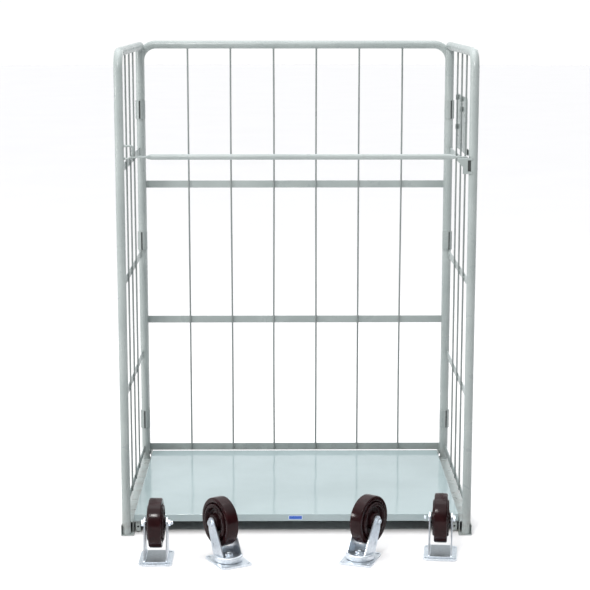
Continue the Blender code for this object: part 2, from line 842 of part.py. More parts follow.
def kingpin(name, frame):
    """The pin that holds the fork to the plate, with its nut."""
    low = PLATE_SIZE[2] + GAP
    nut_low = RACE_TOP_Z + CROWN_THICK + 2 * GAP
    shaft_ends = [frame @ Vector((0, 0, z)) for z in (low, nut_low + 0.013)]
    nut_ends = [frame @ Vector((0, 0, z)) for z in (nut_low, nut_low + 0.010)]
    shaft = rod(name, *shaft_ends, KINGPIN_R, 16)
    nut = rod(name + "_nut", *nut_ends, KINGPIN_NUT_R, 6)
    return place(weld(shaft, nut), ZINC)


def wheel(name, frame, axle_x):
    """Tyre and core, turned about the axle."""
    along_axle = frame @ Matrix.Translation((axle_x, 0, AXLE_Z)) @ Matrix.Rotation(math.pi / 2, 4, "X")
    half, tread_half = TYRE_WIDTH / 2, TYRE_WIDTH / 2 - 0.005
    rim_r = WHEEL_R - TYRE_DEPTH
    tyre_profile = [
        (rim_r + GAP, half - 0.003),
        (WHEEL_R - 0.006, half),
        (WHEEL_R - 0.0012, half - 0.0018),
        (WHEEL_R, tread_half),
        (WHEEL_R, -tread_half),
        (WHEEL_R - 0.0012, -half + 0.0018),
        (WHEEL_R - 0.006, -half),
        (rim_r + GAP, -half + 0.003),
    ]
    tyre = place(turned(name + "_tyre", tyre_profile, along_axle), TYRE)
    hub_half, web_half, rim_half = HUB_LENGTH / 2, 0.009, half - 0.004
    core_profile = [
        (AXLE_R + GAP, hub_half),
        (HUB_R, hub_half),
        (HUB_R + 0.002, web_half + 0.004),
        (rim_r - 0.010, web_half),
        (rim_r - 0.006, rim_half),
        (rim_r, rim_half),
        (rim_r, -rim_half),
        (rim_r - 0.006, -rim_half),
        (rim_r - 0.010, -web_half),
        (HUB_R + 0.002, -web_half - 0.004),
        (HUB_R, -hub_half),
        (AXLE_R + GAP, -hub_half),
    ]
    core = place(turned(name + "_core", core_profile, along_axle), PHENOLIC)
    return tyre, core


def axle_bolt(name, frame, axle_x, leg_outer, nut_side, tail):
    """The axle, with a hexagon head and, at its threaded end, a nut."""
    head_from = leg_outer + GAP
    head_to = head_from + 0.008
    shaft = rod(
        name,
        frame @ Vector((axle_x, -nut_side * (head_to - 0.001), AXLE_Z)),
        frame @ Vector((axle_x, nut_side * (head_to + tail), AXLE_Z)),
        AXLE_R,
        16,
    )
    ends = []
    for sign in (-1, 1):
        start, end = (axle_x, sign * head_from, AXLE_Z), (axle_x, sign * head_to, AXLE_Z)
        ends.append(rod(name + "_hex", frame @ Vector(start), frame @ Vector(end), AXLE_HEX_R, 6))
    return place(weld(shaft, *ends), ZINC)


def fixed_caster(side, x, y, heading):
    name = f"fixed_{side}"
    frame = spun((x, FRONT_Y + y, 0.0), heading)
    still = [
        caster_plate(name + "_plate", frame),
        fixed_fork(name + "_fork", frame),
        axle_bolt(name + "_axle", frame, 0.0, FIXED_LEG_OUTER, -1, 0.009),
    ]
    body = axis_empty(name + "_body", frame.translation)
    wheel_axis = axis_empty(name + "_wheel_axis", frame @ Vector((0, 0, AXLE_Z)))
    hang(body, *still, wheel_axis)
    hang(wheel_axis, *wheel(name, frame, 0.0))


def swivel_caster(side, x, y, plate_heading, fork_heading):
    name = f"swivel_{side}"
    plate_frame = spun((x, FRONT_Y + y, 0.0), plate_heading)
    frame = spun((x, FRONT_Y + y, 0.0), fork_heading)
    still = [
        caster_plate(name + "_plate", plate_frame),
        ball_race(name + "_race", plate_frame),
        kingpin(name + "_kingpin", plate_frame),
    ]
    turning = [
        swivel_fork(name + "_fork", frame),
        axle_bolt(name + "_axle", frame, TRAIL, SWIVEL_LEG_Y + LEG_THICK / 2, 1, 0.003),
    ]
    body = axis_empty(name + "_body", frame.translation)
    fork_axis = axis_empty(name + "_fork_axis", frame.translation)
    wheel_axis = axis_empty(name + "_wheel_axis", frame @ Vector((TRAIL, 0, AXLE_Z)))
    hang(body, *still, fork_axis)
    hang(fork_axis, *turning, wheel_axis)
    hang(wheel_axis, *wheel(name, frame, TRAIL))


back_frame()
side_frame("left", -1)
side_frame("right", 1)
deck()
retaining_bar()
for side, spot in FIXED_CASTERS.items():
    fixed_caster(side, *spot)
for side, spot in SWIVEL_CASTERS.items():
    swivel_caster(side, *spot)
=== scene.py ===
"""Looks of a roll cage container and its four loose casters, built on the nodes of its model.

Metres, +Z up. The cage's open front faces -Y. The main positions are read from the frame's
nodes and joints; the heights of the bars and the sizes of the fine detail are named below.
"""

import json
import math

import bmesh
import bpy
from mathutils import Matrix, Vector
from mathutils.noise import noise

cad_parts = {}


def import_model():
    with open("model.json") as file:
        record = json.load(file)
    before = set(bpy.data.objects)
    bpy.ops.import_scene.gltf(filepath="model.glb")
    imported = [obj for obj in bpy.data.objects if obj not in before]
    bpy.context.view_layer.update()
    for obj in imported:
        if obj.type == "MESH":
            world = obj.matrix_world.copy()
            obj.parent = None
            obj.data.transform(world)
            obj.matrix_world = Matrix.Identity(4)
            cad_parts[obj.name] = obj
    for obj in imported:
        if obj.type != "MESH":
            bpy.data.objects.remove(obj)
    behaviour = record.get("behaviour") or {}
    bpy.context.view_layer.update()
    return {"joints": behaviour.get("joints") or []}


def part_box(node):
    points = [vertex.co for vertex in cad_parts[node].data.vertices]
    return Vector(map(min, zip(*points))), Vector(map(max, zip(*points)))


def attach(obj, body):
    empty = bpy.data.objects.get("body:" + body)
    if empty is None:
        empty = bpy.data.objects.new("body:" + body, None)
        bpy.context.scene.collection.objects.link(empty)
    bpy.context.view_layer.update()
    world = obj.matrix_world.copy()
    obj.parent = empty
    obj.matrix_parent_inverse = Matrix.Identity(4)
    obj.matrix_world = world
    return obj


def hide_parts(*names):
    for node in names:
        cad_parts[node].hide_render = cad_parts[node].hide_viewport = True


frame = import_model()

# Main sizes, read from the frame
hoop_low, hoop_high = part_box("back_tube")
POST_R = (hoop_high.y - hoop_low.y) / 2
BACK_Y = (hoop_high.y + hoop_low.y) / 2
SIDE_X = hoop_high.x - POST_R
BACK_TOP_Z = hoop_high.z - POST_R
BACK_FOOT_Z = hoop_low.z
rail_low, rail_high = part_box("right_post_and_rail")
FRONT_Y = rail_low.y + POST_R
SIDE_TOP_Z = rail_high.z - POST_R
POST_FOOT_Z = rail_low.z
post_low, post_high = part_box("right_rear_post")
REAR_Y = (post_low.y + post_high.y) / 2
BEND_R = 0.054
GAP = 0.0003
CENTRE_R = 0.0001  # the radius at which a turned profile meets its axis

# Bars and wires
BAR_HEIGHT = 0.025
BAR_THICK = 0.003
WIRE_R = 0.003
BACK_BAR_Z = (0.0725, 0.542, 1.026)
BACK_WIRE_PITCH = 0.149
BACK_WIRES = 6
SIDE_BAR_Z = (0.074, 0.423, 0.784, 1.145)
SIDE_BAR_X = SIDE_X + 0.0061
SIDE_WIRE_PITCH = 0.134
SIDE_WIRES = 3
SIDE_WIRE_X = SIDE_BAR_X - BAR_THICK / 2 - WIRE_R + GAP
BACK_WIRE_Y = BACK_Y - BAR_THICK / 2 - WIRE_R + GAP
SIDE_MIDDLE_Y = (FRONT_Y + REAR_Y) / 2

# Hinge sleeves; their seams are turned from straight ahead, in degrees
SLEEVE_WALL = 0.003
SEAM_HALF = 0.0022
SEAM_TURNS = {"left": -4.0, "right": 21.0}

# The deck and the ears that carry it
DECK_SHEET = 0.002
DECK_AXIS_Y = REAR_Y + 0.007
DECK_AXIS_Z = 0.0505
DECK_RELIEF_Y = REAR_Y + 0.005
DECK_RELIEF_Z = 0.044
EAR_X = 0.5165
EAR_SHEET = 0.003
PIN_ENDS = (0.5085, 0.5192)
PIN_R = 0.0034

# Caster seats
SEAT_SHEET = 0.004
SEAT_WELD_X = 0.5155
TONGUE_X = 0.502
TONGUE_WIDTH = 0.015
TONGUE_SHEET = 0.003

# The retaining bar, its catch and the document holder
BAR_R = 0.0085
BAR_Z = 1.1935
TAB_Z = 1.19305
TAB_HALF_WIDTH = 0.012
TAB_HALF_THICK = 0.00125
TAB_CORNER = 0.006
SLOT_ENDS = (-0.5007, -0.4747)
SLOT_HALF = 0.004
CATCH_X = (0.4885, 0.5185)
CATCH_SHEET = 0.003
CATCH_LIP = 0.002
SHELF_Z = 1.1915
HOLDER_X = 0.5450
HOLDER_SHEET = 0.0015
HOLDER_LIP = 0.018
HOLDER_CORNER = 0.012
HOOK_LEVELS = ((0, (1.346, 1.313)), (1, (1.345, 1.247)))

# Casters, measured from the face of the top plate
PLATE_SIZE = (0.132, 0.100, 0.0055)
BOLT_PITCH = (0.105, 0.080)
BOLT_HOLE_R = 0.0055
PLATE_TURNS = {"left": 117.0, "right": 72.0}
AXLE_R = 0.006
WHEEL_R = 0.075
RIM_R = 0.0555
LEG_INNER = 0.031
LEG_THICK = 0.0035
FIXED_LEG_THICK = 0.0045
FIXED_LEG_OUTER = 0.0358
SWIVEL_LEG_OUTER = LEG_INNER + 0.002
RACE_TOP = 0.0135
KING_TOP = 0.0310
KING_NUT_Z = 0.0181

# The surround's strength from each way, and the camera
WORLD_OVERHEAD = 1.95
WORLD_FRONT = 0.0
WORLD_BEHIND = 0.75
WORLD_LEFT = 0.42
CAMERA_LENS = 99.17
CAMERA_AT = (-0.0367, FRONT_Y - 4.9243, 1.652)
CAMERA_DOWN = 0.1776
CAMERA_ROLL = -0.0065


# --- Outlines, paths and solids -------------------------------------------


def rounded(corners, steps=5, closed=True):
    """Corners (x, y, radius) joined by straight lines, each corner rounded to an arc."""
    points = []
    last = len(corners) - 1
    for number, (x, y, radius) in enumerate(corners):
        corner = Vector((x, y))
        if radius == 0 or (not closed and number in (0, last)):
            points.append(corner)
            continue
        before = (Vector(corners[number - 1][:2]) - corner).normalized()
        after = (Vector(corners[(number + 1) % len(corners)][:2]) - corner).normalized()
        half = before.angle(after) / 2
        middle = corner + (before + after).normalized() * radius / math.sin(half)
        start = corner + before * radius / math.tan(half) - middle
        end = corner + after * radius / math.tan(half) - middle
        turn = math.copysign(math.pi - 2 * half, start.x * end.y - start.y * end.x)
        for step in range(steps + 1):
            points.append(middle + Matrix.Rotation(turn * step / steps, 2) @ start)
    return points


def strip(corners, thick, steps=5):
    """The outline of a folded sheet whose middle line runs through the corners."""
    line = rounded(corners, steps, closed=False)
    left, right = [], []
    for number, point in enumerate(line):
        ahead = line[min(number + 1, len(line) - 1)] - line[max(number - 1, 0)]
        side = Vector((-ahead.y, ahead.x)).normalized() * thick / 2
        left.append(point + side)
        right.append(point - side)
    return left + right[::-1]


def circle(radius, sides):
    """Points of a full circle about the origin."""
    turns = [2 * math.pi * number / sides for number in range(sides)]
    return [Vector((radius * math.cos(a), radius * math.sin(a))) for a in turns]


def arc(middle, radius, start, end, steps):
    """Points along an arc; the angles are in degrees."""
    angles = [math.radians(start + (end - start) * step / steps) for step in range(steps + 1)]
    return [Vector((middle[0] + radius * math.cos(a), middle[1] + radius * math.sin(a))) for a in angles]


def rectangle(x_from, x_to, y_from, y_to, radius):
    """Four corners for rounded(), all with the same radius."""
    return [(x_from, y_from, radius), (x_to, y_from, radius), (x_to, y_to, radius), (x_from, y_to, radius)]


def stations(low, high, count):
    """Evenly spaced values from low to high, both included."""
    return [low + (high - low) * number / (count - 1) for number in range(count)]


def facing(axis, location=(0, 0, 0)):
    """A frame whose Z axis points along X or Y and whose Y axis points up."""
    turns = {
        "X": Matrix(((0, 0, 1), (1, 0, 0), (0, 1, 0))),
        "Y": Matrix(((-1, 0, 0), (0, 0, 1), (0, 1, 0))),
    }
    return Matrix.Translation(location) @ turns[axis].to_4x4()


def standing(frame_matrix):
    """A frame whose Z axis is level, across the given frame, and whose Y axis points up."""
    return frame_matrix @ Matrix.Rotation(math.pi / 2, 4, "X")


def spun(location, degrees):
    """A frame at a place, turned about the upright axis."""
    return Matrix.Translation(location) @ Matrix.Rotation(math.radians(degrees), 4, "Z")


def add_rings(form, rings, cyclic=False):
    """Skins a row of point rings, each with the same number of points, and caps its ends."""
    made = [[form.verts.new(point) for point in ring] for ring in rings]
    pairs = list(zip(made, made[1:] + made[:1])) if cyclic else list(zip(made, made[1:]))
    for here, there in pairs:
        for number in range(len(here)):
            after = (number + 1) % len(here)
            form.faces.new((here[number], here[after], there[after], there[number]))
    if not cyclic:
        form.faces.new(made[0][::-1])
        form.faces.new(made[-1])


def add_tube(form, path, radius, sides):
    """A round rod along a path in one plane, its bends mitred to keep their width."""
    path = [Vector(point) for point in path]
    ahead = (path[1] - path[0]).normalized()
    across = ahead.orthogonal().normalized()
    rings = []
    for number, point in enumerate(path):
        come = (point - path[number - 1]).normalized() if number else ahead
        leave = (path[number + 1] - point).normalized() if number + 1 < len(path) else come
        along = (come + leave).normalized()
        across = (across - along * across.dot(along)).normalized()
        up = along.cross(across)
        stretch = 1 / max(0.5, along.dot(leave))
        bend = leave - come
        bend = bend.normalized() if bend.length > 1e-6 else None
        ring = []
        for turn in circle(radius, sides):
            spoke = across * turn.x + up * turn.y
            if bend is not None:
                spoke += bend * spoke.dot(bend) * (stretch - 1)
            ring.append(point + spoke)
        rings.append(ring)
    add_rings(form, rings)


def add_prism(form, outline, depth, matrix):
    """A flat outline made solid, its middle plane in the matrix's XY plane."""
    rings = [[matrix @ Vector((p[0], p[1], z)) for p in outline] for z in (-depth / 2, depth / 2)]
    add_rings(form, rings)


def add_box(form, low, high):
    """A box between two opposite corners, given in either order."""
    made = bmesh.ops.create_cube(form, size=1.0)["verts"]
    low, high = Vector(map(min, low, high)), Vector(map(max, low, high))
    bmesh.ops.scale(form, vec=high - low, verts=made)
    bmesh.ops.translate(form, vec=(low + high) / 2, verts=made)


def add_lathe(form, profile, matrix, sides=96):
    """A closed profile of (radius, height) turned about the matrix's Z axis."""
    rings = []
    for number in range(sides):
        turn = Matrix.Rotation(2 * math.pi * number / sides, 4, "Z")
        rings.append([matrix @ turn @ Vector((p[0], 0.0, p[1])) for p in profile])
    add_rings(form, rings, cyclic=True)


def add_dome(form, profile, matrix, sides=48):
    """A profile of (radius, height) from the top to the bottom, turned and capped at both ends."""
    rings = [
        [matrix @ Vector((p.x, p.y, height)) for p in circle(radius, sides)] for radius, height in profile
    ]
    add_rings(form, rings)


def add_bead(form, start, end, radius, out, seed=0.0):
    """A weld bead between two points, its ripples and its width a little uneven."""
    start, end, out = Vector(start), Vector(end), Vector(out).normalized()
    run = end - start
    count = max(10, int(run.length / 0.0006))
    side = run.cross(out).normalized()
    rings = []
    for number in range(count + 1):
        share = number / count
        taper = math.sqrt(max(0.02, 1 - (2 * share - 1) ** 6))
        ripple = 1 + 0.10 * math.sin(share * run.length / 0.0021 * 2 * math.pi)
        uneven = 1 + 0.22 * noise(Vector((share * run.length * 130, seed, 0.3)))
        size = radius * taper * ripple * uneven
        middle = start + run * share
        rings.append([middle + side * p.x * 1.25 + out * p.y * 0.75 for p in circle(size, 12)])
    add_rings(form, rings)


def add_ring_bead(form, middle, ring_r, radius, seed, axis=(0, 0, 1)):
    """A weld bead that runs all the way round a tube or rod."""
    turn = Vector((0, 0, 1)).rotation_difference(Vector(axis)).to_matrix()
    steps = max(24, int(ring_r * 2 * math.pi / 0.0007))
    rings = []
    for number in range(steps):
        angle = 2 * math.pi * number / steps
        spoke = turn @ Vector((math.cos(angle), math.sin(angle), 0))
        along = turn @ Vector((0, 0, 1))
        uneven = 1 + 0.18 * noise(Vector((math.cos(angle) * 2, math.sin(angle) * 2, seed)))
        ripple = 1 + 0.08 * math.sin(angle * round(steps / 4))
        size = radius * uneven * ripple
        centre = Vector(middle) + spoke * ring_r
        rings.append([centre + spoke * p.x * 0.8 + along * p.y for p in circle(size, 10)])
    add_rings(form, rings, cyclic=True)


def add_blob(form, middle, radii, seed=0.0):
    """A small uneven weld spot."""
    made = bmesh.ops.create_uvsphere(form, u_segments=14, v_segments=9, radius=1.0)["verts"]
    for vert in made:
        swell = 1 + 0.15 * noise(vert.co * 1.4 + Vector((seed, 0, 0)))
        vert.co = Vector((vert.co[i] * radii[i] * swell + middle[i] for i in range(3)))


def bent_path(corners, radius, steps=14):
    """The corners of an open path, each inner one rounded to an arc."""
    corners = [Vector(corner) for corner in corners]
    points = [corners[0]]
    for before, corner, after in zip(corners, corners[1:], corners[2:]):
        come, leave = (before - corner).normalized(), (after - corner).normalized()
        middle = corner + (come + leave).normalized() * radius * math.sqrt(2)
        for step in range(steps + 1):
            angle = math.pi / 2 * step / steps
            points.append(middle - leave * radius * math.cos(angle) - come * radius * math.sin(angle))
    return points + [corners[-1]]


def mesh_object(name, form):
    """A smooth-shaded object made from a bmesh, which is freed."""
    bmesh.ops.recalc_face_normals(form, faces=form.faces)
    mesh = bpy.data.meshes.new(name)
    form.to_mesh(mesh)
    form.free()
    mesh.shade_smooth()
    made = bpy.data.objects.new(name, mesh)
    bpy.context.scene.collection.objects.link(made)
    return made


def boolean(thing, other, operation):
    """A Boolean with another object, applied at once; the other object goes."""
    step = thing.modifiers.new("step", "BOOLEAN")
    step.operation = operation
    step.solver = "EXACT"
    step.object = other
    bpy.context.view_layer.update()
    graph = bpy.context.evaluated_depsgraph_get()
    mesh = bpy.data.meshes.new_from_object(thing.evaluated_get(graph))
    thing.modifiers.clear()
    thing.data = mesh
    bpy.data.objects.remove(other, do_unlink=True)
    return thing


def solid(name, maker, *values, **options):
    """One object from one of the add_ functions."""
    form = bmesh.new()
    maker(form, *values, **options)
    return mesh_object(name, form)


def solid_along_y(name, outline, low, high):
    """An outline of (-x, z) points made solid over the whole depth of a node's box."""
    place = facing("Y", (0, (low.y + high.y) / 2, 0))
    return solid(name, add_prism, outline, high.y - low.y, place)


def drill(thing, radius, sides, depth, place):
    """Cuts a round hole along the frame's Z axis, half its depth to each side."""
    boolean(thing, solid("drill", add_prism, circle(radius, sides), depth, place), "DIFFERENCE")


def piece(thing, body, finish, nodes=(), edge=0.0, edge_steps=2):
    """Gives a finished shape its soft edges, its material and its body."""
    if edge:
        soft = thing.modifiers.new("edge", "BEVEL")
        soft.width = edge
        soft.segments = edge_steps
        soft.limit_method = "ANGLE"
        soft.angle_limit = math.radians(40)
    even = thing.modifiers.new("even", "WEIGHTED_NORMAL")
    even.keep_sharp = True
    thing.data.materials.clear()
    thing.data.materials.append(finish)
    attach(thing, body)
    if nodes:
        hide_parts(*nodes)


# --- Materials ------------------------------------------------------------


class Graph:
    """A node tree, with short ways to add nodes to it."""

    def __init__(self, tree):
        self.nodes = tree.nodes
        self.links = tree.links

    def node(self, kind, inputs=None, **settings):
        made = self.nodes.new(kind)
        for setting, value in settings.items():
            setattr(made, setting, value)
        for socket, value in (inputs or {}).items():
            if isinstance(value, bpy.types.NodeSocket):
                self.links.new(value, made.inputs[socket])
            else:
                made.inputs[socket].default_value = value
        return made

    def spread(self, value, low, high, to_low=0.0, to_high=1.0, smooth=True):
        inputs = {"Value": value, "From Min": low, "From Max": high, "To Min": to_low, "To Max": to_high}
        kind = "SMOOTHSTEP" if smooth else "LINEAR"
        return self.node("ShaderNodeMapRange", inputs, interpolation_type=kind).outputs["Result"]

    def math(self, operation, first, second):
        return self.node("ShaderNodeMath", {0: first, 1: second}, operation=operation).outputs["Value"]


class Finish(Graph):
    """A Principled material, patterned in its object's own coordinates."""

    def __init__(self, name, **sockets):
        self.material = bpy.data.materials.new(name)
        self.material.use_nodes = True
        super().__init__(self.material.node_tree)
        self.shader = self.nodes["Principled BSDF"]
        for socket, value in sockets.items():
            self.shader.inputs[socket].default_value = value
        self.place = self.node("ShaderNodeTexCoord").outputs["Object"]

    def noise(self, scale, detail=2.0, roughness=0.5, distortion=0.0, place=None):
        inputs = {
            "Vector": place or self.place,
            "Scale": scale,
            "Detail": detail,
            "Roughness": roughness,
            "Distortion": distortion,
        }
        return self.node("ShaderNodeTexNoise", inputs).outputs["Fac"]

    def stretched(self, scale):
        inputs = {"Vector": self.place, "Scale": scale}
        return self.node("ShaderNodeMapping", inputs).outputs["Vector"]

    def mix(self, share, first, second):
        inputs = {"Factor": share, "A": first, "B": second}
        made = self.node("ShaderNodeMix", data_type="RGBA")
        shown = [s for s in made.inputs if s.enabled and s.type in ("RGBA", "VALUE")]
        for socket, value in inputs.items():
            found = next(s for s in shown if s.name == socket)
            if isinstance(value, bpy.types.NodeSocket):
                self.links.new(value, found)
            else:
                found.default_value = value
        return next(s for s in made.outputs if s.type == "RGBA" and s.enabled)

    def cover(self, base, share, strength, color):
        """A colour laid over the base where share is high, at most at the given strength."""
        return self.mix(self.math("MULTIPLY", share, strength), base, color)

    def bump(self, height, strength, distance, under=None):
        inputs = {"Height": height, "Strength": strength, "Distance": distance}
        if under is not None:
            inputs["Normal"] = under
        return self.node("ShaderNodeBump", inputs).outputs["Normal"]

    def set(self, **sockets):
        for socket, value in sockets.items():
            self.links.new(value, self.shader.inputs[socket.replace("_", " ")])
        return self.material


def height_of(finish):
    """The height above the floor, for an object that sits at the origin."""
    return finish.node("ShaderNodeSeparateXYZ", {"Vector": finish.place}).outputs["Z"]


def shades(depth, *colors):
    """The colours with every channel scaled by the same depth."""
    return [(*[value * depth for value in color], 1) for color in colors]


def frame_paint(name, depth):
    """Baked pale grey-green paint: faint orange peel, drips, dust near the floor, rubbed spots."""
    f = Finish(name, IOR=1.5)
    dark, light = shades(depth, (0.285, 0.322, 0.317), (0.325, 0.362, 0.356))
    base = f.mix(f.spread(f.noise(7.0, 3.0), 0.35, 0.65), dark, light)
    speck = f.spread(f.noise(420.0, 2.0), 0.70, 0.76)
    base = f.cover(base, speck, 0.25, (0.16, 0.17, 0.165, 1))
    low = f.spread(height_of(f), 0.12, 0.0)
    grime = f.math("MULTIPLY", low, f.spread(f.noise(38.0, 5.0, 0.65), 0.42, 0.66))
    base = f.cover(base, grime, 0.5, (0.18, 0.16, 0.14, 1))
    scuff = f.spread(f.noise(30.0, 6.0, 0.7, 1.2, f.stretched((1, 1, 0.25))), 0.66, 0.74)
    base = f.cover(base, scuff, 0.16, (0.44, 0.47, 0.47, 1))
    rough = f.spread(f.noise(24.0, 3.0), 0.3, 0.7, 0.26, 0.42)
    rough = f.math("ADD", rough, f.math("MULTIPLY", scuff, 0.18))
    peel = f.bump(f.noise(520.0, 2.0), 0.10, 0.0008)
    runs = f.bump(f.noise(40.0, 2.0, 0.5, 0.0, f.stretched((1, 1, 0.3))), 0.05, 0.002, peel)
    return f.set(Base_Color=base, Roughness=rough, Normal=runs)


def deck_paint():
    """Glossy pale blue-grey paint on sheet that is not quite flat."""
    f = Finish("deck_paint_finish", IOR=1.55)
    broad = f.spread(f.noise(3.0, 3.0), 0.35, 0.65)
    base = f.mix(broad, (0.282, 0.348, 0.356, 1), (0.310, 0.380, 0.390, 1))
    dust = f.spread(f.noise(160.0, 4.0, 0.7), 0.60, 0.78)
    base = f.cover(base, dust, 0.10, (0.26, 0.29, 0.29, 1))
    scratch = f.spread(f.noise(9.0, 8.0, 0.62, 2.0, f.stretched((1, 7, 1))), 0.70, 0.73)
    base = f.cover(base, scratch, 0.12, (0.55, 0.60, 0.60, 1))
    rough = f.spread(f.noise(11.0, 4.0), 0.3, 0.7, 0.055, 0.10)
    rough = f.math("ADD", rough, f.math("MULTIPLY", scratch, 0.12))
    wave = f.bump(f.noise(9.0, 1.5, 0.4), 0.9, 0.0016)
    peel = f.bump(f.noise(420.0, 2.0), 0.05, 0.0006, wave)
    return f.set(Base_Color=base, Roughness=rough, Normal=peel)


def zinc(name, depth):
    """Bright zinc plating: small crystals, rolling lines and dull patches."""
    f = Finish(name, Metallic=1.0)
    cells = f.node("ShaderNodeTexVoronoi", {"Vector": f.place, "Scale": 210.0}).outputs["Color"]
    shade = f.node("ShaderNodeSeparateColor", {"Color": cells}).outputs["Red"]
    base = f.mix(shade, *shades(depth, (0.66, 0.71, 0.76), (0.76, 0.81, 0.86)))
    dull = f.spread(f.noise(55.0, 5.0, 0.6), 0.50, 0.72)
    base = f.cover(base, dull, 0.25, (0.50, 0.53, 0.57, 1))
    rough = f.spread(f.noise(90.0, 4.0, 0.6), 0.3, 0.7, 0.33, 0.42)
    rough = f.math("ADD", rough, f.math("MULTIPLY", dull, 0.08))
    lines = f.bump(f.noise(60.0, 3.0, 0.6, 0.0, f.stretched((1, 12, 12))), 0.12, 0.0006)
    grain = f.bump(f.noise(900.0, 2.0), 0.12, 0.0003, lines)
    return f.set(Base_Color=base, Roughness=rough, Normal=grain)


def moulded(name, dark, light, rough_low, rough_high):
    """Dark brown moulded resin with fine flecks, glossy from the mould."""
    f = Finish(name, IOR=1.25)
    base = f.mix(f.spread(f.noise(26.0, 4.0, 0.6), 0.35, 0.68), dark, light)
    fleck = f.spread(f.noise(650.0, 3.0, 0.6), 0.62, 0.74)
    base = f.cover(base, fleck, 0.55, (0.040, 0.016, 0.016, 1))
    rough = f.spread(f.noise(60.0, 4.0), 0.3, 0.7, rough_low, rough_high)
    skin = f.bump(f.noise(300.0, 3.0), 0.10, 0.0005)
    flow = f.bump(f.noise(24.0, 2.0), 0.10, 0.0015, skin)
    return f.set(Base_Color=base, Roughness=rough, Normal=flow)


def label_blue():
    """A plain blue sticker with a thin pale border, its print slightly uneven."""
    f = Finish("label_finish")
    share = f.node("ShaderNodeTexCoord").outputs["Generated"]
    spot = f.node("ShaderNodeSeparateXYZ", {"Vector": share})
    across = f.math("ABSOLUTE", f.math("SUBTRACT", spot.outputs["X"], 0.5), 0.0)
    up = f.math("ABSOLUTE", f.math("SUBTRACT", spot.outputs["Z"], 0.5), 0.0)
    inside_across = f.spread(across, 0.465, 0.460, smooth=False)
    inside_up = f.spread(up, 0.40, 0.385, smooth=False)
    inside = f.math("MULTIPLY", inside_across, inside_up)
    ink = f.mix(f.noise(300.0, 3.0), (0.012, 0.075, 0.38, 1), (0.022, 0.105, 0.47, 1))
    base = f.mix(inside, (0.55, 0.63, 0.75, 1), ink)
    rough = f.spread(f.noise(120.0, 2.0), 0.3, 0.7, 0.26, 0.38)
    return f.set(Base_Color=base, Roughness=rough, Normal=f.bump(f.noise(500.0, 2.0), 0.08, 0.0002))


PAINT = frame_paint("frame_paint_finish", 1.0)
# A darker copy of the frame paint for the wires: painted shade, as the thin wires get little light from
# the front
SHADED_WIRE_PAINT = frame_paint("wire_painted_shade_finish", 0.64)
SLEEVE_PAINT = frame_paint("sleeve_paint_finish", 0.90)
# A near-black copy of the frame paint: painted shadow for strips put in gaps and hollows
SHADOW_PAINT = frame_paint("painted_shadow_finish", 0.12)
DECK = deck_paint()
ZINC = zinc("zinc_finish", 1.0)
# A darker copy of the zinc: painted reflection and shade of the wheel, for the fixed forks' webs
PAINTED_REFLECTION_ZINC = zinc("painted_reflection_zinc_finish", 0.50)
CORE = moulded("wheel_core_finish", (0.009, 0.0028, 0.0032, 1), (0.018, 0.0052, 0.006, 1), 0.22, 0.32)
TYRE = moulded("tyre_finish", (0.012, 0.0034, 0.004, 1), (0.020, 0.0054, 0.0062, 1), 0.13, 0.19)
LABEL = label_blue()


# --- Back frame -----------------------------------------------------------


def back_frame():
    """The hoop, its three bars and six wires, the hinge sleeves and the deck's ears."""
    body, slot = "back_frame", "frame_paint"
    corners = [
        (-SIDE_X, BACK_Y, BACK_FOOT_Z),
        (-SIDE_X, BACK_Y, BACK_TOP_Z),
        (SIDE_X, BACK_Y, BACK_TOP_Z),
        (SIDE_X, BACK_Y, BACK_FOOT_Z),
    ]
    hoop = solid("back_hoop", add_tube, bent_path(corners, BEND_R), POST_R, 48)
    piece(hoop, body, PAINT, ["back_tube"], edge=0.0012)

    reach = SIDE_X - POST_R - GAP
    bars, wires, welds = bmesh.new(), bmesh.new(), bmesh.new()
    for z in BACK_BAR_Z:
        add_box(
            bars,
            (-reach, BACK_Y - BAR_THICK / 2, z - BAR_HEIGHT / 2),
            (reach, BACK_Y + BAR_THICK / 2, z + BAR_HEIGHT / 2),
        )
        for sign in (-1, 1):
            for face in (-1, 1):
                end = (sign * (reach - 0.0005), BACK_Y + face * BAR_THICK / 2)
                low, high = z - BAR_HEIGHT * 0.42, z + BAR_HEIGHT * 0.42
                add_bead(welds, (*end, low), (*end, high), 0.0024, (-sign, face, 0), seed=z * 9 + sign)
    low = BACK_BAR_Z[0] - BAR_HEIGHT * 0.3
    top = BACK_TOP_Z - POST_R + 0.0008
    for number in range(BACK_WIRES):
        x = (number - (BACK_WIRES - 1) / 2) * BACK_WIRE_PITCH
        lean = 0.0012 * math.sin(number * 2.3)
        path = [(x + lean * math.sin(z * 4), BACK_WIRE_Y, z) for z in stations(low, top, 16)]
        add_tube(wires, path, WIRE_R, 18)
        for z in BACK_BAR_Z:
            for sign in (-1, 1):
                spot = (x + lean * math.sin(z * 4) + sign * 0.0030, BACK_WIRE_Y + 0.0022, z)
                add_blob(welds, spot, (0.0020, 0.0012, 0.0048), seed=number + z * 3)
        add_ring_bead(welds, (x, BACK_WIRE_Y, top - 0.0004), WIRE_R, 0.0013, number)
    for sign in (-1, 1):
        seam_z = BACK_TOP_Z - BEND_R - 0.016
        add_ring_bead(welds, (sign * SIDE_X, BACK_Y, seam_z), POST_R - 0.0004, 0.0013, sign)
    piece(mesh_object("back_bars", bars), body, PAINT, ["back_grid"], edge=0.0007)
    piece(mesh_object("back_wires", wires), body, SHADED_WIRE_PAINT, edge=0.0005)

    for side, sign in (("left", -1), ("right", 1)):
        for level in ("low", "mid", "top"):
            hinge_sleeve(side, sign, level, welds)
        deck_lug(side, sign, welds)
    piece(mesh_object("back_welds", welds), body, PAINT)


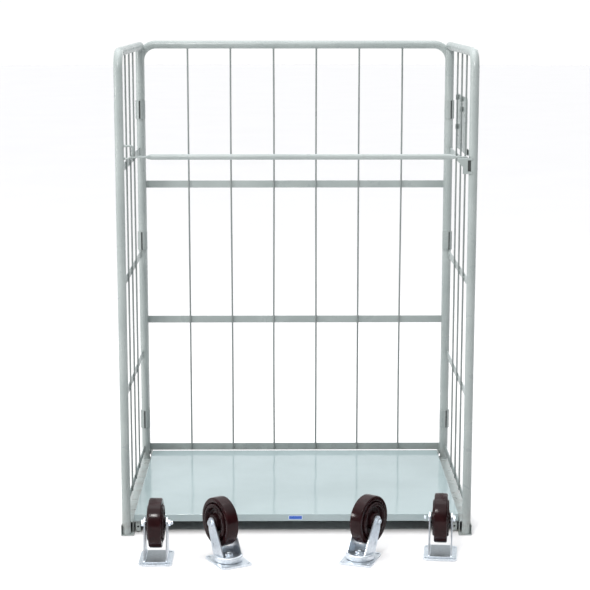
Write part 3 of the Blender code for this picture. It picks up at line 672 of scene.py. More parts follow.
def hinge_sleeve(side, sign, level, welds):
    """A strap rolled round the side frame's rear post, its open seam near the front."""
    node = f"hinge_{side}_{level}"
    low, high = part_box(node)
    middle_z, height = (low.z + high.z) / 2, high.z - low.z
    inner, outer = POST_R + GAP, POST_R + GAP + SLEEVE_WALL
    half_seam = math.degrees(SEAM_HALF / inner)
    seam = -90 + SEAM_TURNS[side]
    start, end = seam + half_seam, seam + 360 - half_seam
    outline = arc((0, 0), outer, start, end, 60) + arc((0, 0), inner, end, start, 60)
    place = Matrix.Translation((sign * SIDE_X, REAR_Y, middle_z))
    strap = solid(f"sleeve_{side}_{level}", add_prism, outline, height, place)
    piece(strap, "back_frame", SLEEVE_PAINT, [node], edge=0.0008)
    # A dark strip low in the seam: a painted shadow for its gap
    seam_shadow_line = arc((0, 0), inner + 0.0012, seam - half_seam, seam + half_seam, 4)
    seam_shadow_line += arc((0, 0), inner, seam + half_seam, seam - half_seam, 4)
    seam_shadow = solid(f"seam_{side}_{level}", add_prism, seam_shadow_line, height * 0.97, place)
    piece(seam_shadow, "back_frame", SHADOW_PAINT)
    for face in (-1, 1):
        x = sign * SIDE_X + face * 0.0088
        y = (REAR_Y + BACK_Y) / 2 + 0.0004
        ends = [(x, y, middle_z + way * height * 0.40) for way in (-1, 1)]
        add_bead(welds, *ends, 0.0040, (face, 0, 0), middle_z * 5 + face)


def deck_lug(side, sign, welds):
    """The bent ear that carries one of the deck's pivot pins, welded to the back post."""
    node = f"deck_lug_{side}"
    low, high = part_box(node)
    ear_x, edge_x = sign * EAR_X, sign * (SIDE_X - POST_R + 0.0004)
    corners = [
        (low.y, low.z, 0.004),
        (high.y, low.z, 0.002),
        (high.y, high.z, 0.002),
        (low.y, high.z, 0.007),
    ]
    outline = rounded(corners, 6)
    ear = solid(f"pivot_ear_{side}", add_prism, outline, EAR_SHEET, facing("X", (ear_x, 0, 0)))
    arm_low = (ear_x, BACK_Y - 0.006, low.z + 0.0003)
    arm_high = (edge_x, BACK_Y + 0.0055, high.z - 0.0003)
    boolean(ear, solid("arm", add_box, arm_low, arm_high), "UNION")
    tip, root = (sign * x for x in PIN_ENDS)
    profile = [(CENTRE_R, tip), (PIN_R - 0.0004, tip), (PIN_R, tip + sign * 0.0006)]
    profile += [(PIN_R, root - sign * 0.0006), (PIN_R - 0.0005, root), (CENTRE_R, root)]
    pin = solid("pin", add_dome, profile, facing("X", (0, DECK_AXIS_Y, DECK_AXIS_Z)), 24)
    boolean(ear, pin, "UNION")
    piece(ear, "back_frame", PAINT, [node], edge=0.0005)
    for face in (-1, 1):
        y = BACK_Y + face * 0.006
        ends = ((edge_x, y, low.z + 0.002), (edge_x, y, high.z - 0.002))
        add_bead(welds, *ends, 0.0022, (-sign, face, 0), face)


# --- Side frames ----------------------------------------------------------


def side_frame(side, sign):
    """The bent front post and rail, the rear post, four bars, three wires and what is on them."""
    body, slot = f"{side}_side", "frame_paint"
    x = sign * SIDE_X
    rail_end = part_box(f"{side}_post_and_rail")[1].y
    corners = [(x, FRONT_Y, POST_FOOT_Z), (x, FRONT_Y, SIDE_TOP_Z), (x, rail_end, SIDE_TOP_Z)]
    hoop = solid(f"{side}_hoop", add_tube, bent_path(corners, BEND_R), POST_R, 48)
    piece(hoop, body, PAINT, [f"{side}_post_and_rail"], edge=0.0010)

    node = f"{side}_rear_post"
    low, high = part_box(node)
    post = solid(f"{side}_back_post", add_tube, [(x, REAR_Y, low.z), (x, REAR_Y, high.z)], POST_R, 48)
    piece(post, body, PAINT, [node], edge=0.0008)

    bars, wires, welds = bmesh.new(), bmesh.new(), bmesh.new()
    bar_x = sign * SIDE_BAR_X
    for z in SIDE_BAR_Z:
        ends = (FRONT_Y + POST_R * 0.93, REAR_Y - POST_R * 0.93)
        add_box(
            bars,
            (bar_x - BAR_THICK / 2, ends[0], z - BAR_HEIGHT / 2),
            (bar_x + BAR_THICK / 2, ends[1], z + BAR_HEIGHT / 2),
        )
        for end, way in zip(ends, (1, -1)):
            for face in (-1, 1):
                spot = (bar_x + face * BAR_THICK / 2, end + way * 0.0004)
                low_z, high_z = z - BAR_HEIGHT * 0.42, z + BAR_HEIGHT * 0.42
                add_bead(welds, (*spot, low_z), (*spot, high_z), 0.0022, (face, way, 0), z * 7 + face)
    wire_x = sign * SIDE_WIRE_X
    wire_low, wire_top = SIDE_BAR_Z[0] - BAR_HEIGHT * 0.1, SIDE_TOP_Z - POST_R + 0.0012
    for number in range(SIDE_WIRES):
        y = SIDE_MIDDLE_Y + (number - (SIDE_WIRES - 1) / 2) * SIDE_WIRE_PITCH
        lean = 0.0012 * math.sin(number * 1.9 + sign)
        path = [(wire_x, y + lean * math.sin(z * 4), z) for z in stations(wire_low, wire_top, 16)]
        add_tube(wires, path, WIRE_R, 18)
        for z in SIDE_BAR_Z:
            for way in (-1, 1):
                spot = (wire_x + sign * 0.0022, y + lean * math.sin(z * 4) + way * 0.0030, z)
                add_blob(welds, spot, (0.0012, 0.0020, 0.0048), seed=number + z * 3)
        add_ring_bead(welds, (wire_x, y, wire_top - 0.0006), WIRE_R, 0.0013, number)
    piece(mesh_object(f"{side}_bars", bars), body, PAINT, [f"{side}_grid"], edge=0.0007)
    piece(mesh_object(f"{side}_wires", wires), body, SHADED_WIRE_PAINT, edge=0.0005)

    add_ring_bead(welds, (x, REAR_Y, high.z - 0.0006), POST_R, 0.0016, 4)
    add_ring_bead(welds, (x, REAR_Y, low.z + 0.0008), POST_R, 0.0016, 5)
    seam_z = SIDE_TOP_Z - BEND_R - 0.014
    add_ring_bead(welds, (x, FRONT_Y, seam_z), POST_R - 0.0004, 0.0012, sign)
    add_ring_bead(welds, (x, FRONT_Y, POST_FOOT_Z + 0.0008), POST_R - 0.0012, 0.0016, 7)

    channel(side, sign, body)
    shoe(f"foot_{side}_front", sign, body)
    shoe(f"foot_{side}_rear", sign, body)
    for end in ("front", "rear"):
        caster_seat(f"mount_{side}_{end}", sign, body, welds)
    if side == "left":
        keeper(body, welds)
    else:
        catch(body, welds)
        document_holder(body)
    piece(mesh_object(f"{side}_welds", welds), body, PAINT)


def channel(side, sign, body):
    """The sill: an inverted channel of folded sheet."""
    node = f"{side}_sill"
    low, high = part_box(node)
    thick, bend = 0.0025, 0.0030
    inner, outer = (low.x, high.x) if sign > 0 else (high.x, low.x)
    half = sign * thick / 2
    corners = [
        (-(inner + half), low.z, 0),
        (-(inner + half), high.z - thick / 2, bend),
        (-(outer - half), high.z - thick / 2, bend),
        (-(outer - half), low.z, 0),
    ]
    sill = solid_along_y(f"{side}_channel", strip(corners, thick), low, high)
    piece(sill, body, PAINT, [node], edge=0.0006)


def shoe(node, sign, body):
    """A foot: a tray of folded sheet, its outer edge turned up beside the sill."""
    low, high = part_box(node)
    base, flange = 0.003, 0.0022
    inner, outer = (low.x, high.x) if sign > 0 else (high.x, low.x)
    wall = outer - sign * flange
    outline = [
        (-inner, 0.0),
        *[(-p.x, p.y) for p in corner_arc(outer, 0.0, 0.0030, sign)],
        (-outer, high.z),
        (-wall, high.z),
        *[(-p.x, p.y) for p in corner_arc(wall, base, 0.0012, sign)[::-1]],
        (-inner, base),
    ]
    tray = solid_along_y(node.replace("foot", "shoe"), outline, low, high)
    piece(tray, body, PAINT, [node], edge=0.0006)


def corner_arc(x, z, radius, sign):
    """A quarter turn from a level floor line up into a wall at x."""
    middle = Vector((x - sign * radius, z + radius))
    steps = 6
    angles = [math.pi / 2 * step / steps for step in range(steps + 1)]
    return [middle + Vector((sign * math.sin(a), -math.cos(a))) * radius for a in angles]


def caster_seat(node, sign, body, welds):
    """The plate that a caster bolts under, its four holes open.

    A front plate reaches lower: its tongue is bent down at the cage's front, with a hole in it.
    """
    low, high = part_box(node)
    top, start = high.z, low.y
    length = high.y - start
    outline = rounded(rectangle(low.x, high.x, start, high.y, 0.002), 4)
    place = Matrix.Translation((0, 0, top - SEAT_SHEET / 2))
    seat = solid(node.replace("mount", "seat"), add_prism, outline, SEAT_SHEET, place)
    if low.z < top - 2 * SEAT_SHEET:
        face, under = start + TONGUE_SHEET / 2, top - SEAT_SHEET / 2
        line = [(face, low.z, 0), (face, under, 0.002), (start + 0.012, under, 0)]
        bend = strip(line, TONGUE_SHEET)
        tongue_x = sign * TONGUE_X
        tongue = solid("tongue", add_prism, bend, TONGUE_WIDTH, facing("X", (tongue_x, 0, 0)))
        boolean(seat, tongue, "UNION")
        hole = facing("Y", (tongue_x, face, (low.z + top) / 2 - 0.002))
        drill(seat, 0.0035, 24, 0.01, hole)
    middle = ((low.x + high.x) / 2, start + length / 2)
    for across in (-1, 1):
        for along in (-1, 1):
            spot = (middle[0] + across * BOLT_PITCH[1] / 2, middle[1] + along * BOLT_PITCH[0] / 2)
            drill(seat, BOLT_HOLE_R, 32, 0.02, Matrix.Translation((*spot, top)))
    piece(seat, body, PAINT, [node], edge=0.0005)
    weld_x, weld_z = sign * SEAT_WELD_X, top - 0.0042
    for share in (0.12, 0.44, 0.76):
        y = start + length * share
        ends = ((weld_x, y, weld_z), (weld_x, y + length * 0.14, weld_z))
        add_bead(welds, *ends, 0.0020, (-sign, 0, -1), share)


def keeper(body, welds):
    """The rod loop that holds the retaining bar's slotted end."""
    low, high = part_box("bar_keeper")
    loop_x, rod_r = high.x - WIRE_R, WIRE_R
    start_x = -(SIDE_X - POST_R) - 0.0006
    corners = [
        (start_x, FRONT_Y, high.z - rod_r),
        (loop_x, FRONT_Y, high.z - rod_r),
        (loop_x, FRONT_Y, low.z + rod_r),
        (start_x, FRONT_Y, low.z + rod_r),
    ]
    loop = solid("keeper_loop", add_tube, bent_path(corners, 0.0045, 8), rod_r, 20)
    piece(loop, body, PAINT, ["bar_keeper"], edge=0.0004)
    for number, z in enumerate((high.z - rod_r, low.z + rod_r)):
        add_ring_bead(welds, (-(SIDE_X - POST_R) + 0.0006, FRONT_Y, z), rod_r, 0.0017, number, (1, 0, 0))


def catch(body, welds):
    """A folded bracket: a front wall with a slanted lower corner, a shelf and a rear lip."""
    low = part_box("bar_catch")[0]
    inner_x, outer_x = CATCH_X
    half = FRONT_Y - low.y
    front, rear = FRONT_Y - half + CATCH_SHEET / 2, FRONT_Y + half - CATCH_SHEET / 2
    under = SHELF_Z - CATCH_SHEET / 2
    corners = [
        (front, low.z, 0),
        (front, under, 0.0024),
        (rear, under, 0.0024),
        (rear, SHELF_Z + CATCH_LIP, 0),
    ]
    place = facing("X", ((inner_x + outer_x) / 2, 0, 0))
    bracket = solid("catch_bracket", add_prism, strip(corners, CATCH_SHEET), outer_x - inner_x, place)
    # The wall's inner lower part is cut off: a slant below the shelf, then straight down
    slant_x, slant_z, clear_x, clear_z = 0.5035, (1.180, 1.1635), 0.47, low.z - 0.01
    wedge = [(-clear_x, slant_z[0]), (-inner_x, slant_z[0]), (-slant_x, slant_z[1])]
    wedge += [(-slant_x, clear_z), (-clear_x, clear_z)]
    cutter = solid("cutter", add_prism, wedge, 0.02, facing("Y", (0, front, 0)))
    boolean(bracket, cutter, "DIFFERENCE")
    lugs = bmesh.new()
    post_x = SIDE_X - math.sqrt(POST_R**2 - (half - CATCH_SHEET) ** 2)
    lug_y = (front - CATCH_SHEET / 2 + 0.0002, front + CATCH_SHEET / 2 - 0.0002)
    for z in (low.z + 0.004, SHELF_Z - 0.004):
        add_box(lugs, (outer_x - 0.002, lug_y[0], z - 0.0035), (post_x + 0.0006, lug_y[1], z + 0.0035))
        ends = [(post_x - 0.0004, front, z + way * 0.0036) for way in (-1, 1)]
        add_bead(welds, *ends, 0.0021, (-1, -1, 0), z)
    boolean(bracket, mesh_object("lugs", lugs), "UNION")
    # A dark strip between the bracket and the post: a painted shadow for its hollow
    shade_low = (outer_x + 0.0004, front + 0.003, low.z + 0.006)
    shade_high = (post_x + 0.0004, front + 0.006, SHELF_Z - 0.006)
    shade = solid("catch_painted_shadow", add_box, shade_low, shade_high)
    piece(shade, body, SHADOW_PAINT)
    piece(bracket, body, PAINT, ["bar_catch", "catch_back"], edge=0.0006)


def document_holder(body):
    """A sheet outside the wires with a tray lip below and small hooks over two wires."""
    node = "document_holder"
    low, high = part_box(node)
    half = HOLDER_SHEET / 2
    corners = [
        (-(HOLDER_X + half), high.z, 0),
        (-(HOLDER_X + half), low.z + half, 0.0016),
        (-(high.x - half), low.z + half, 0.0016),
        (-(high.x - half), low.z + HOLDER_LIP, 0),
    ]
    board = solid_along_y("document_board", strip(corners, HOLDER_SHEET), low, high)
    for y, way in ((low.y, 1), (high.y, -1)):
        beyond, within = y - way * 0.01, y + way * HOLDER_CORNER
        corner = [(beyond, high.z + 0.01), (within, high.z + 0.01), (within, high.z)]
        corner += [
            (within - way * HOLDER_CORNER * math.sin(a), high.z - HOLDER_CORNER * (1 - math.cos(a)))
            for a in [math.pi / 2 * step / 8 for step in range(1, 9)]
        ]
        corner += [(beyond, high.z - HOLDER_CORNER)]
        cutter = solid("cutter", add_prism, corner, 0.01, facing("X", (HOLDER_X, 0, 0)))
        boolean(board, cutter, "DIFFERENCE")
    hooks = bmesh.new()
    hook_x = SIDE_WIRE_X - WIRE_R - 0.0012
    for step, levels in HOOK_LEVELS:
        wire_y = SIDE_MIDDLE_Y + step * SIDE_WIRE_PITCH
        for z in levels:
            bend = [
                (HOLDER_X + 0.0006, wire_y + 0.0047, 0),
                (hook_x, wire_y + 0.0047, 0.0014),
                (hook_x, wire_y - 0.0040, 0),
            ]
            add_prism(hooks, strip(bend, 0.0012), 0.016, Matrix.Translation((0, 0, z)))
    piece(board, body, PAINT, [node], edge=0.0004)
    piece(mesh_object("document_hooks", hooks), body, PAINT, edge=0.0003)


# --- Deck -----------------------------------------------------------------


def deck():
    """The folded tray, open below and cut back at its rear edge, with its ribs and its sticker."""
    body, slot = "deck", "deck_paint"
    low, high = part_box("deck_pan")
    form = bmesh.new()
    add_box(form, low, high)
    bottom = [face for face in form.faces if face.normal.z < -0.5]
    bmesh.ops.delete(form, geom=bottom, context="FACES")
    folds = [edge for edge in form.edges if len(edge.link_faces) == 2]
    bmesh.ops.bevel(form, geom=folds, offset=0.0030, segments=5, affect="EDGES", profile=0.5)
    for spot, way in (((0, DECK_RELIEF_Y, 0), (0, 1, 0)), ((0, 0, DECK_RELIEF_Z), (0, 0, 1))):
        everything = form.verts[:] + form.edges[:] + form.faces[:]
        bmesh.ops.bisect_plane(form, geom=everything, plane_co=spot, plane_no=way)
    gone = []
    for face in form.faces:
        middle = face.calc_center_median()
        if middle.y > DECK_RELIEF_Y and middle.z < DECK_RELIEF_Z:
            gone.append(face)
    bmesh.ops.delete(form, geom=gone, context="FACES")
    bmesh.ops.recalc_face_normals(form, faces=form.faces)
    bmesh.ops.solidify(form, geom=form.faces[:], thickness=DECK_SHEET)
    piece(mesh_object("deck_tray", form), body, DECK, ["deck_pan"], edge=0.0004)

    for number in (1, 2):
        node = f"deck_rib_{number}"
        low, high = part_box(node)
        half = DECK_SHEET / 2
        corners = [
            (low.y + half, low.z, 0),
            (low.y + half, high.z - half, 0.003),
            (high.y - half, high.z - half, 0.003),
            (high.y - half, low.z, 0),
        ]
        outline = strip(corners, DECK_SHEET)
        rib = solid(f"deck_stiffener_{number}", add_prism, outline, high.x - low.x, facing("X"))
        piece(rib, body, DECK, [node], edge=0.0005)

    low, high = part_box("deck_label")
    corners = rectangle(low.x, high.x, low.z, high.z, 0.0015)
    outline = [(-p.x, p.y) for p in rounded(corners, 5)]
    label = solid_along_y("deck_sticker", outline, low, high)
    piece(label, body, LABEL, ["deck_label"], edge=0.0001)


# --- Retaining bar --------------------------------------------------------


def retaining_bar():
    """A rod pressed flat at both ends; the left end is slotted over the keeper."""
    low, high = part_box("retaining_bar")
    flat_left, round_left, round_right, flat_right = -0.466, -0.438, 0.466, 0.492
    places = [low.x + TAB_CORNER * (1 - math.cos(math.pi / 2 * step / 8)) for step in range(9)]
    places += stations(flat_left, round_left, 16)
    places += stations(round_left + 0.02, round_right - 0.02, 24)
    places += stations(round_right, flat_right, 16)
    places += [high.x - TAB_CORNER * (1 - math.sin(math.pi / 2 * step / 8)) for step in range(9)]
    rings = []
    for x in places:
        if x < round_left:
            share = min(1.0, max(0.0, (x - flat_left) / (round_left - flat_left)))
        else:
            share = min(1.0, max(0.0, (flat_right - x) / (flat_right - round_right)))
        share = share * share * (3 - 2 * share)
        end = min(x - low.x, high.x - x)
        corner = TAB_CORNER - math.sqrt(max(0.0, TAB_CORNER**2 - max(0.0, TAB_CORNER - end) ** 2))
        wide = BAR_R * share + (TAB_HALF_WIDTH - corner) * (1 - share)
        tall = BAR_R * share + TAB_HALF_THICK * (1 - share)
        power = 2 / (2 * share + 9 * (1 - share))
        middle_z = BAR_Z * share + TAB_Z * (1 - share)
        ring = []
        for p in circle(1.0, 40):
            y = math.copysign(abs(p.x) ** power, p.x) * wide
            z = math.copysign(abs(p.y) ** power, p.y) * tall
            ring.append((x, FRONT_Y + y, middle_z + z))
        rings.append(ring)
    form = bmesh.new()
    add_rings(form, rings)
    bar = mesh_object("crossbar", form)
    left = arc((SLOT_ENDS[0] + SLOT_HALF, FRONT_Y), SLOT_HALF, 90, 270, 12)
    right = arc((SLOT_ENDS[1] - SLOT_HALF, FRONT_Y), SLOT_HALF, -90, 90, 12)
    cutter = solid("cutter", add_prism, left + right, 0.03, Matrix.Translation((0, 0, TAB_Z)))
    boolean(bar, cutter, "DIFFERENCE")
    piece(bar, "retaining_bar", PAINT, ["retaining_bar"], edge=0.0004)


# --- Casters --------------------------------------------------------------


def joint(name):
    """One joint's record: its place, axis and range."""
    return next(made for made in frame["joints"] if made["name"] == name)


def heading_of(axis):
    """The way a wheel rolls, in degrees, from its axle's direction."""
    return math.degrees(math.atan2(-axis[0], axis[1]))


def caster_plate(name, place, body, node):
    """A caster's top plate with rounded corners and its four bolt holes."""
    length, width, thick = PLATE_SIZE
    half_x, half_y, corner = length / 2, width / 2, 0.012
    outline = rounded(rectangle(half_x, -half_x, half_y, -half_y, corner), 8)
    made = solid(name, add_prism, outline, thick, place @ Matrix.Translation((0, 0, thick / 2)))
    for along in (-1, 1):
        for across in (-1, 1):
            spot = (along * BOLT_PITCH[0] / 2, across * BOLT_PITCH[1] / 2, 0)
            drill(made, BOLT_HOLE_R, 36, 0.03, place @ Matrix.Translation(spot))
    piece(made, body, ZINC, [node], edge=0.0011, edge_steps=3)


def leg_outline(right, left, axle_x, axle_z, head_r):
    """A side plate seen from the side: up the right edge, over a round head, down the left."""
    lean_right = math.degrees(math.atan2(axle_x + head_r - right[-1][0], axle_z - right[-1][1]))
    lean_left = math.degrees(math.atan2(axle_x - head_r - left[0][0], axle_z - left[0][1]))
    head = arc((axle_x, axle_z), head_r, -lean_right, 180 - lean_left, 24)
    return [Vector(p) for p in right] + head + [Vector(p) for p in left]


def fixed_fork(name, place, axle_z, body, node):
    """One folded sheet: a web on the plate and two legs that narrow to the axle."""
    low = PLATE_SIZE[2] + GAP
    middle = FIXED_LEG_OUTER - FIXED_LEG_THICK / 2
    web_half, base_half, head_r = 0.055, 0.050, 0.0175
    top = axle_z + head_r + 0.005
    fold = [
        (-middle, top, 0),
        (-middle, low + FIXED_LEG_THICK / 2, 0.0042),
        (middle, low + FIXED_LEG_THICK / 2, 0.0042),
        (middle, top, 0),
    ]
    across = place @ facing("X")
    fork = solid(name, add_prism, strip(fold, FIXED_LEG_THICK, 8), 2 * web_half, across)
    right = [
        (web_half, low - 0.002),
        (web_half, low + LEG_THICK + 0.001),
        (base_half, low + LEG_THICK + 0.003),
    ]
    left = [(-x, z) for x, z in right[::-1]]
    outline = leg_outline(right, left, 0.0, axle_z, head_r)
    shape = solid("shape", add_prism, outline, 0.10, standing(place))
    boolean(fork, shape, "INTERSECT")
    drill(fork, AXLE_R + GAP, 32, 0.12, standing(place @ Matrix.Translation((0, 0, axle_z))))
    piece(fork, body, ZINC, [node], edge=0.0008)
    # A darker sheet on the web: painted reflection and shade of the dark wheel that the bright metal would
    # mirror there
    reflection_z = low + FIXED_LEG_THICK
    reflection_reach, reflection_half = web_half - 0.002, middle - FIXED_LEG_THICK
    skin = bmesh.new()
    add_box(skin, (-reflection_reach, -reflection_half, reflection_z - 0.0004), (reflection_reach, reflection_half, reflection_z + 0.0002))
    bmesh.ops.transform(skin, matrix=place, verts=skin.verts)
    piece(mesh_object(name + "_web", skin), body, PAINTED_REFLECTION_ZINC)


def swivel_fork(name, place, trail, axle_z, body, node):
    """A pressed crown turned down over the ball race, and two legs joined by a slotted web."""
    crown_r, wall, low, top = 0.0430, 0.0025, 0.0070, 0.0235
    profile = rounded(
        [
            (0.0095, 0.0178, 0),
            (0.0290, 0.0178, 0.004),
            (0.0320, top, 0.003),
            (crown_r, top, 0.0045),
            (crown_r, low, 0.0006),
            (crown_r - wall, low, 0.0006),
            (crown_r - wall, top - wall - 0.001, 0.002),
            (0.0340, top - wall, 0.002),
            (0.0305, 0.0152, 0.003),
            (0.0095, 0.0152, 0),
        ],
        5,
    )
    fork = solid(name, add_lathe, profile[::-1], place, 96)
    middle = SWIVEL_LEG_OUTER - LEG_THICK / 2
    for sign in (-1, 1):
        right, left = [(0.0300, 0.0145), (0.0570, 0.088)], [(0.0080, 0.088), (-0.0285, 0.0145)]
        outline = leg_outline(right, left, trail, axle_z, 0.0165)
        spot = standing(place @ Matrix.Translation((0, sign * middle, 0)))
        boolean(fork, solid("leg", add_prism, outline, LEG_THICK, spot), "UNION")
    web_r, web_thick = 0.0355, 0.003
    reach = math.degrees(math.asin(middle / web_r))
    wall_line = arc((-0.004, 0), web_r + web_thick / 2, -reach, reach, 28)
    wall_line += arc((-0.004, 0), web_r - web_thick / 2, reach, -reach, 28)
    web = solid("web", add_prism, wall_line, 0.0215, place @ Matrix.Translation((0, 0, 0.0278)))
    boolean(fork, web, "UNION")
    slot_x, slot_z = 0.0295, 0.050
    slot = rounded(
        [
            (slot_x - 0.0015, slot_z - 0.0065, 0.0013),
            (slot_x + 0.0015, slot_z - 0.0065, 0.0013),
            (slot_x + 0.0035, slot_z + 0.0065, 0.0013),
            (slot_x + 0.0005, slot_z + 0.0065, 0.0013),
        ],
        4,
    )
    boolean(fork, solid("slot", add_prism, slot, 0.10, standing(place)), "DIFFERENCE")
    drill(fork, AXLE_R + GAP, 32, 0.12, standing(place @ Matrix.Translation((trail, 0, axle_z))))
    piece(fork, body, ZINC, [node], edge=0.0006)


def add_hexagon(thing, place, across_r, height):
    """Joins a hexagon nut or head, its corners turned off, to a bolt."""
    chamfer = 0.0012
    middle = place @ Matrix.Translation((0, 0, height / 2))
    made = solid("nut", add_prism, circle(across_r, 6), height, middle)
    flat_r = across_r * math.cos(math.pi / 6)
    barrel = [
        (flat_r - 0.0004, 0.0),
        (across_r + 0.0002, chamfer),
        (across_r + 0.0002, height - chamfer),
        (flat_r - 0.0004, height),
    ]
    turned = solid("barrel", add_dome, [(r, height - z) for r, z in barrel], place, 48)
    boolean(made, turned, "INTERSECT")
    boolean(thing, made, "UNION")


def add_washer(thing, place, low, radius, thick, soft, sides):
    """Joins a washer with rounded edges to a bolt."""
    top = low + thick
    corners = [(CENTRE_R, top, 0), (radius, top, soft), (radius, low, soft), (CENTRE_R, low, 0)]
    boolean(thing, solid("washer", add_dome, rounded(corners, 3), place, sides), "UNION")


def thread(low, high, radius, pitch=0.0016):
    """The (radius, height) profile of a threaded end, top to bottom, its crests as rings."""
    count = int((high - low) / pitch)
    line = [(CENTRE_R, high), (radius - 0.0012, high), (radius, high - 0.0012)]
    for number in range(1, count):
        z = high - 0.0012 - number * pitch
        if z > low + pitch:
            line += [(radius, z + pitch * 0.35), (radius - 0.0006, z)]
    return line + [(radius, low), (CENTRE_R, low)]


def axle(name, place, body, node):
    """A hexagon-head bolt through both legs, with washers and a nut with a threaded end."""
    across = standing(place)
    leg_outer, tail = (FIXED_LEG_OUTER, 0.0152) if "fixed" in node else (SWIVEL_LEG_OUTER, 0.0112)
    head_from = leg_outer + GAP
    bolt = solid(name, add_dome, thread(-head_from - 0.0062, head_from + tail, AXLE_R), across, 40)
    for sign in (-1, 1):
        side = across @ Matrix.Translation((0, 0, sign * head_from))
        if sign < 0:
            side = side @ Matrix.Rotation(math.pi, 4, "X")
        add_washer(bolt, side, 0.0, 0.0112, 0.0013, 0.0003, 40)
        add_hexagon(bolt, side @ Matrix.Translation((0, 0, 0.0011)), 0.0102, 0.0068)
    piece(bolt, body, ZINC, [node], edge=0.0003)


def wheel(name, place, body, tyre_node, core_node):
    """The tyre and the stepped core that it is moulded on, turned about the axle."""
    across = standing(place)
    tread, side_half, flange, hub = 0.0174, 0.0200, 0.0245, 0.0288
    across_tread = stations(tread - 0.004, -tread + 0.004, 9)
    crown = [(WHEEL_R - 0.0002 - 0.0006 * (z / tread) ** 2, z) for z in across_tread]
    outer = rounded(
        [
            (RIM_R + GAP, side_half - 0.0010, 0.0006),
            (0.0640, side_half - 0.0002, 0.004),
            (0.0712, side_half, 0.0025),
            (0.0742, tread, 0.003),
            (WHEEL_R - 0.0006, tread - 0.004, 0.0),
        ],
        5,
        closed=False,
    )
    mirrored = [(p.x, -p.y) for p in outer[::-1]]
    profile = [(p.x, p.y) for p in outer] + crown[1:-1] + mirrored
    tyre = solid(name + "_tread", add_lathe, profile, across, 128)
    piece(tyre, body, TYRE, [tyre_node])

    half = rounded(
        [
            (AXLE_R + GAP, hub, 0),
            (0.0165, hub, 0.0012),
            (0.0175, 0.0262, 0.0010),
            (0.0235, 0.0262, 0.0015),
            (0.0262, 0.0130, 0.0040),
            (0.0400, 0.0115, 0.0040),
            (0.0455, 0.0235, 0.0022),
            (0.0468, flange, 0.0012),
            (0.0530, flange, 0.0016),
            (RIM_R - 0.0002, 0.0212, 0.0012),
            (RIM_R - 0.0002, 0.0185, 0),
        ],
        5,
        closed=False,
    )
    profile = [(p.x, p.y) for p in half] + [(p.x, -p.y) for p in half[::-1]]
    core = solid(name + "_hub", add_lathe, profile, across, 128)
    piece(core, body, CORE, [core_node])


def fixed_caster(side):
    """A caster that can't turn, upside down on its top plate."""
    body, name = f"fixed_caster_{side}", f"fixed_{side}"
    turn = joint(f"wheel_fixed_{side}")
    spot = Vector(turn["pos_m"])
    place = spun((spot.x, spot.y, 0), heading_of(turn["axis"]))
    caster_plate(name + "_top_plate", place, body, name + "_plate")
    fixed_fork(name + "_horn", place, spot.z, body, name + "_fork")
    at_axle = place @ Matrix.Translation((0, 0, spot.z))
    axle(name + "_bolt", at_axle, body, name + "_axle")
    wheel(name, at_axle, f"fixed_wheel_{side}", name + "_tyre", name + "_core")


def swivel_caster(side):
    """A caster whose fork turns on its ball race, upside down on its top plate."""
    name, plate_body, fork_body = f"swivel_{side}", f"swivel_caster_{side}", f"swivel_fork_{side}"
    turn = joint(f"wheel_swivel_{side}")
    spot = Vector(turn["pos_m"])
    king = Vector(joint(f"fork_{side}_swivel")["pos_m"])
    trail = (Vector((spot.x, spot.y)) - Vector((king.x, king.y))).length
    plate_place = spun((king.x, king.y, 0), PLATE_TURNS[side])
    place = spun((king.x, king.y, 0), heading_of(turn["axis"]))
    caster_plate(name + "_top_plate", plate_place, plate_body, name + "_plate")
    low = PLATE_SIZE[2] + GAP
    race = rounded(
        [
            (0.0100, low, 0),
            (0.0100, RACE_TOP, 0),
            (0.0290, RACE_TOP, 0.002),
            (0.0385, 0.0100, 0.002),
            (0.0395, low, 0),
        ],
        5,
    )
    ring = solid(name + "_lower_race", add_lathe, race, plate_place, 96)
    piece(ring, plate_body, ZINC, [name + "_race"], edge=0.0003)
    pin = solid(name + "_pivot", add_dome, thread(low, KING_TOP, 0.008), plate_place, 40)
    add_washer(pin, plate_place, KING_NUT_Z, 0.0185, 0.0015, 0.0004, 48)
    add_hexagon(pin, plate_place @ Matrix.Translation((0, 0, KING_NUT_Z + 0.0013)), 0.0145, 0.0088)
    piece(pin, plate_body, ZINC, [name + "_kingpin"], edge=0.0003)
    swivel_fork(name + "_horn", place, trail, spot.z, fork_body, name + "_fork")
    at_axle = place @ Matrix.Translation((trail, 0, spot.z))
    axle(name + "_bolt", at_axle, fork_body, name + "_axle")
    wheel(name, at_axle, f"swivel_wheel_{side}", name + "_tyre", name + "_core")


# --- Stage, light and camera ----------------------------------------------


def stage():
    """A wide pale floor."""
    form = bmesh.new()
    bmesh.ops.create_circle(form, cap_ends=True, segments=96, radius=40.0)
    floor = mesh_object("floor", form)
    f = Finish("floor_finish", Roughness=0.75, IOR=1.3)
    shade = f.mix(f.noise(1.2, 3.0), (0.71, 0.70, 0.70, 1), (0.74, 0.73, 0.73, 1))
    floor.data.materials.append(f.set(Base_Color=shade, Normal=f.bump(f.noise(180.0, 2.0), 0.05, 0.0005)))


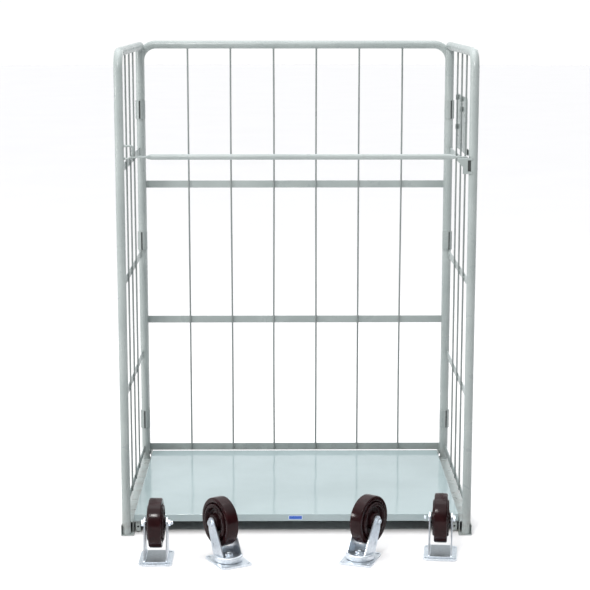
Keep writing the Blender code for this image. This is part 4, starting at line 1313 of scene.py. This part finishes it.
def world():
    """A bright surround: brighter overhead, behind the cage and to the left."""
    made = bpy.data.worlds.new("studio")
    bpy.context.scene.world = made
    made.use_nodes = True
    made.node_tree.nodes.clear()
    g = Graph(made.node_tree)
    around = g.node("ShaderNodeTexCoord").outputs["Generated"]
    way = g.node("ShaderNodeSeparateXYZ", {"Vector": around}).outputs
    overhead = g.spread(way["Z"], 0.40, 0.98, 0.0, WORLD_OVERHEAD)
    behind = g.spread(way["Y"], -0.3, 0.9, WORLD_FRONT, WORLD_BEHIND)
    left = g.spread(way["X"], 0.5, -0.9, 0.0, WORLD_LEFT)
    strength = g.math("ADD", g.math("ADD", overhead, behind), left)
    light = g.node("ShaderNodeBackground", {"Color": (0.97, 0.985, 1.0, 1), "Strength": strength})
    seen = g.node("ShaderNodeBackground", {"Color": (1.0, 1.0, 1.0, 1), "Strength": 1.02})
    direct = g.node("ShaderNodeLightPath").outputs["Is Camera Ray"]
    choice = {"Fac": direct, 1: light.outputs["Background"], 2: seen.outputs["Background"]}
    pick = g.node("ShaderNodeMixShader", choice)
    g.node("ShaderNodeOutputWorld", {"Surface": pick.outputs["Shader"]})


def area_light(name, location, target, size, power, tint=(1, 1, 1)):
    """A rectangular light that faces its target."""
    data = bpy.data.lights.new(name, "AREA")
    data.shape = "RECTANGLE"
    data.size, data.size_y = size
    data.energy = power
    data.color = tint
    made = bpy.data.objects.new(name, data)
    made.location = location
    made.rotation_euler = (Vector(target) - Vector(location)).to_track_quat("-Z", "Y").to_euler()
    bpy.context.scene.collection.objects.link(made)


def lights():
    """A key light from the front left, with weaker ones from the side, the top and the back."""
    area_light("key", (-0.85, -3.3, 3.7), (0, 0, 0.6), (0.7, 0.7), 90, (1.0, 0.985, 0.97))
    area_light("side", (-4.2, -1.3, 1.6), (0, 0, 0.8), (0.7, 0.7), 60, (1.0, 0.985, 0.97))
    area_light("top", (0.0, 0.1, 3.6), (0, 0.15, 0), (2.4, 1.8), 25)
    area_light("rim", (1.8, 3.2, 2.6), (0, 0.2, 0.8), (1.6, 1.6), 20)


def camera():
    """A long lens a little above the cage, in front of it and looking slightly down."""
    data = bpy.data.cameras.new("camera")
    data.sensor_width = 36.0
    data.lens = CAMERA_LENS
    made = bpy.data.objects.new("camera", data)
    made.location = CAMERA_AT
    made.rotation_euler = (math.pi / 2 - CAMERA_DOWN, 0.0, CAMERA_ROLL)
    bpy.context.scene.collection.objects.link(made)
    bpy.context.scene.camera = made


camera()
world()
lights()
stage()
back_frame()
side_frame("left", -1)
side_frame("right", 1)
deck()
retaining_bar()
for side in ("left", "right"):
    fixed_caster(side)
    swivel_caster(side)
bpy.context.scene.view_settings.view_transform = "Standard"
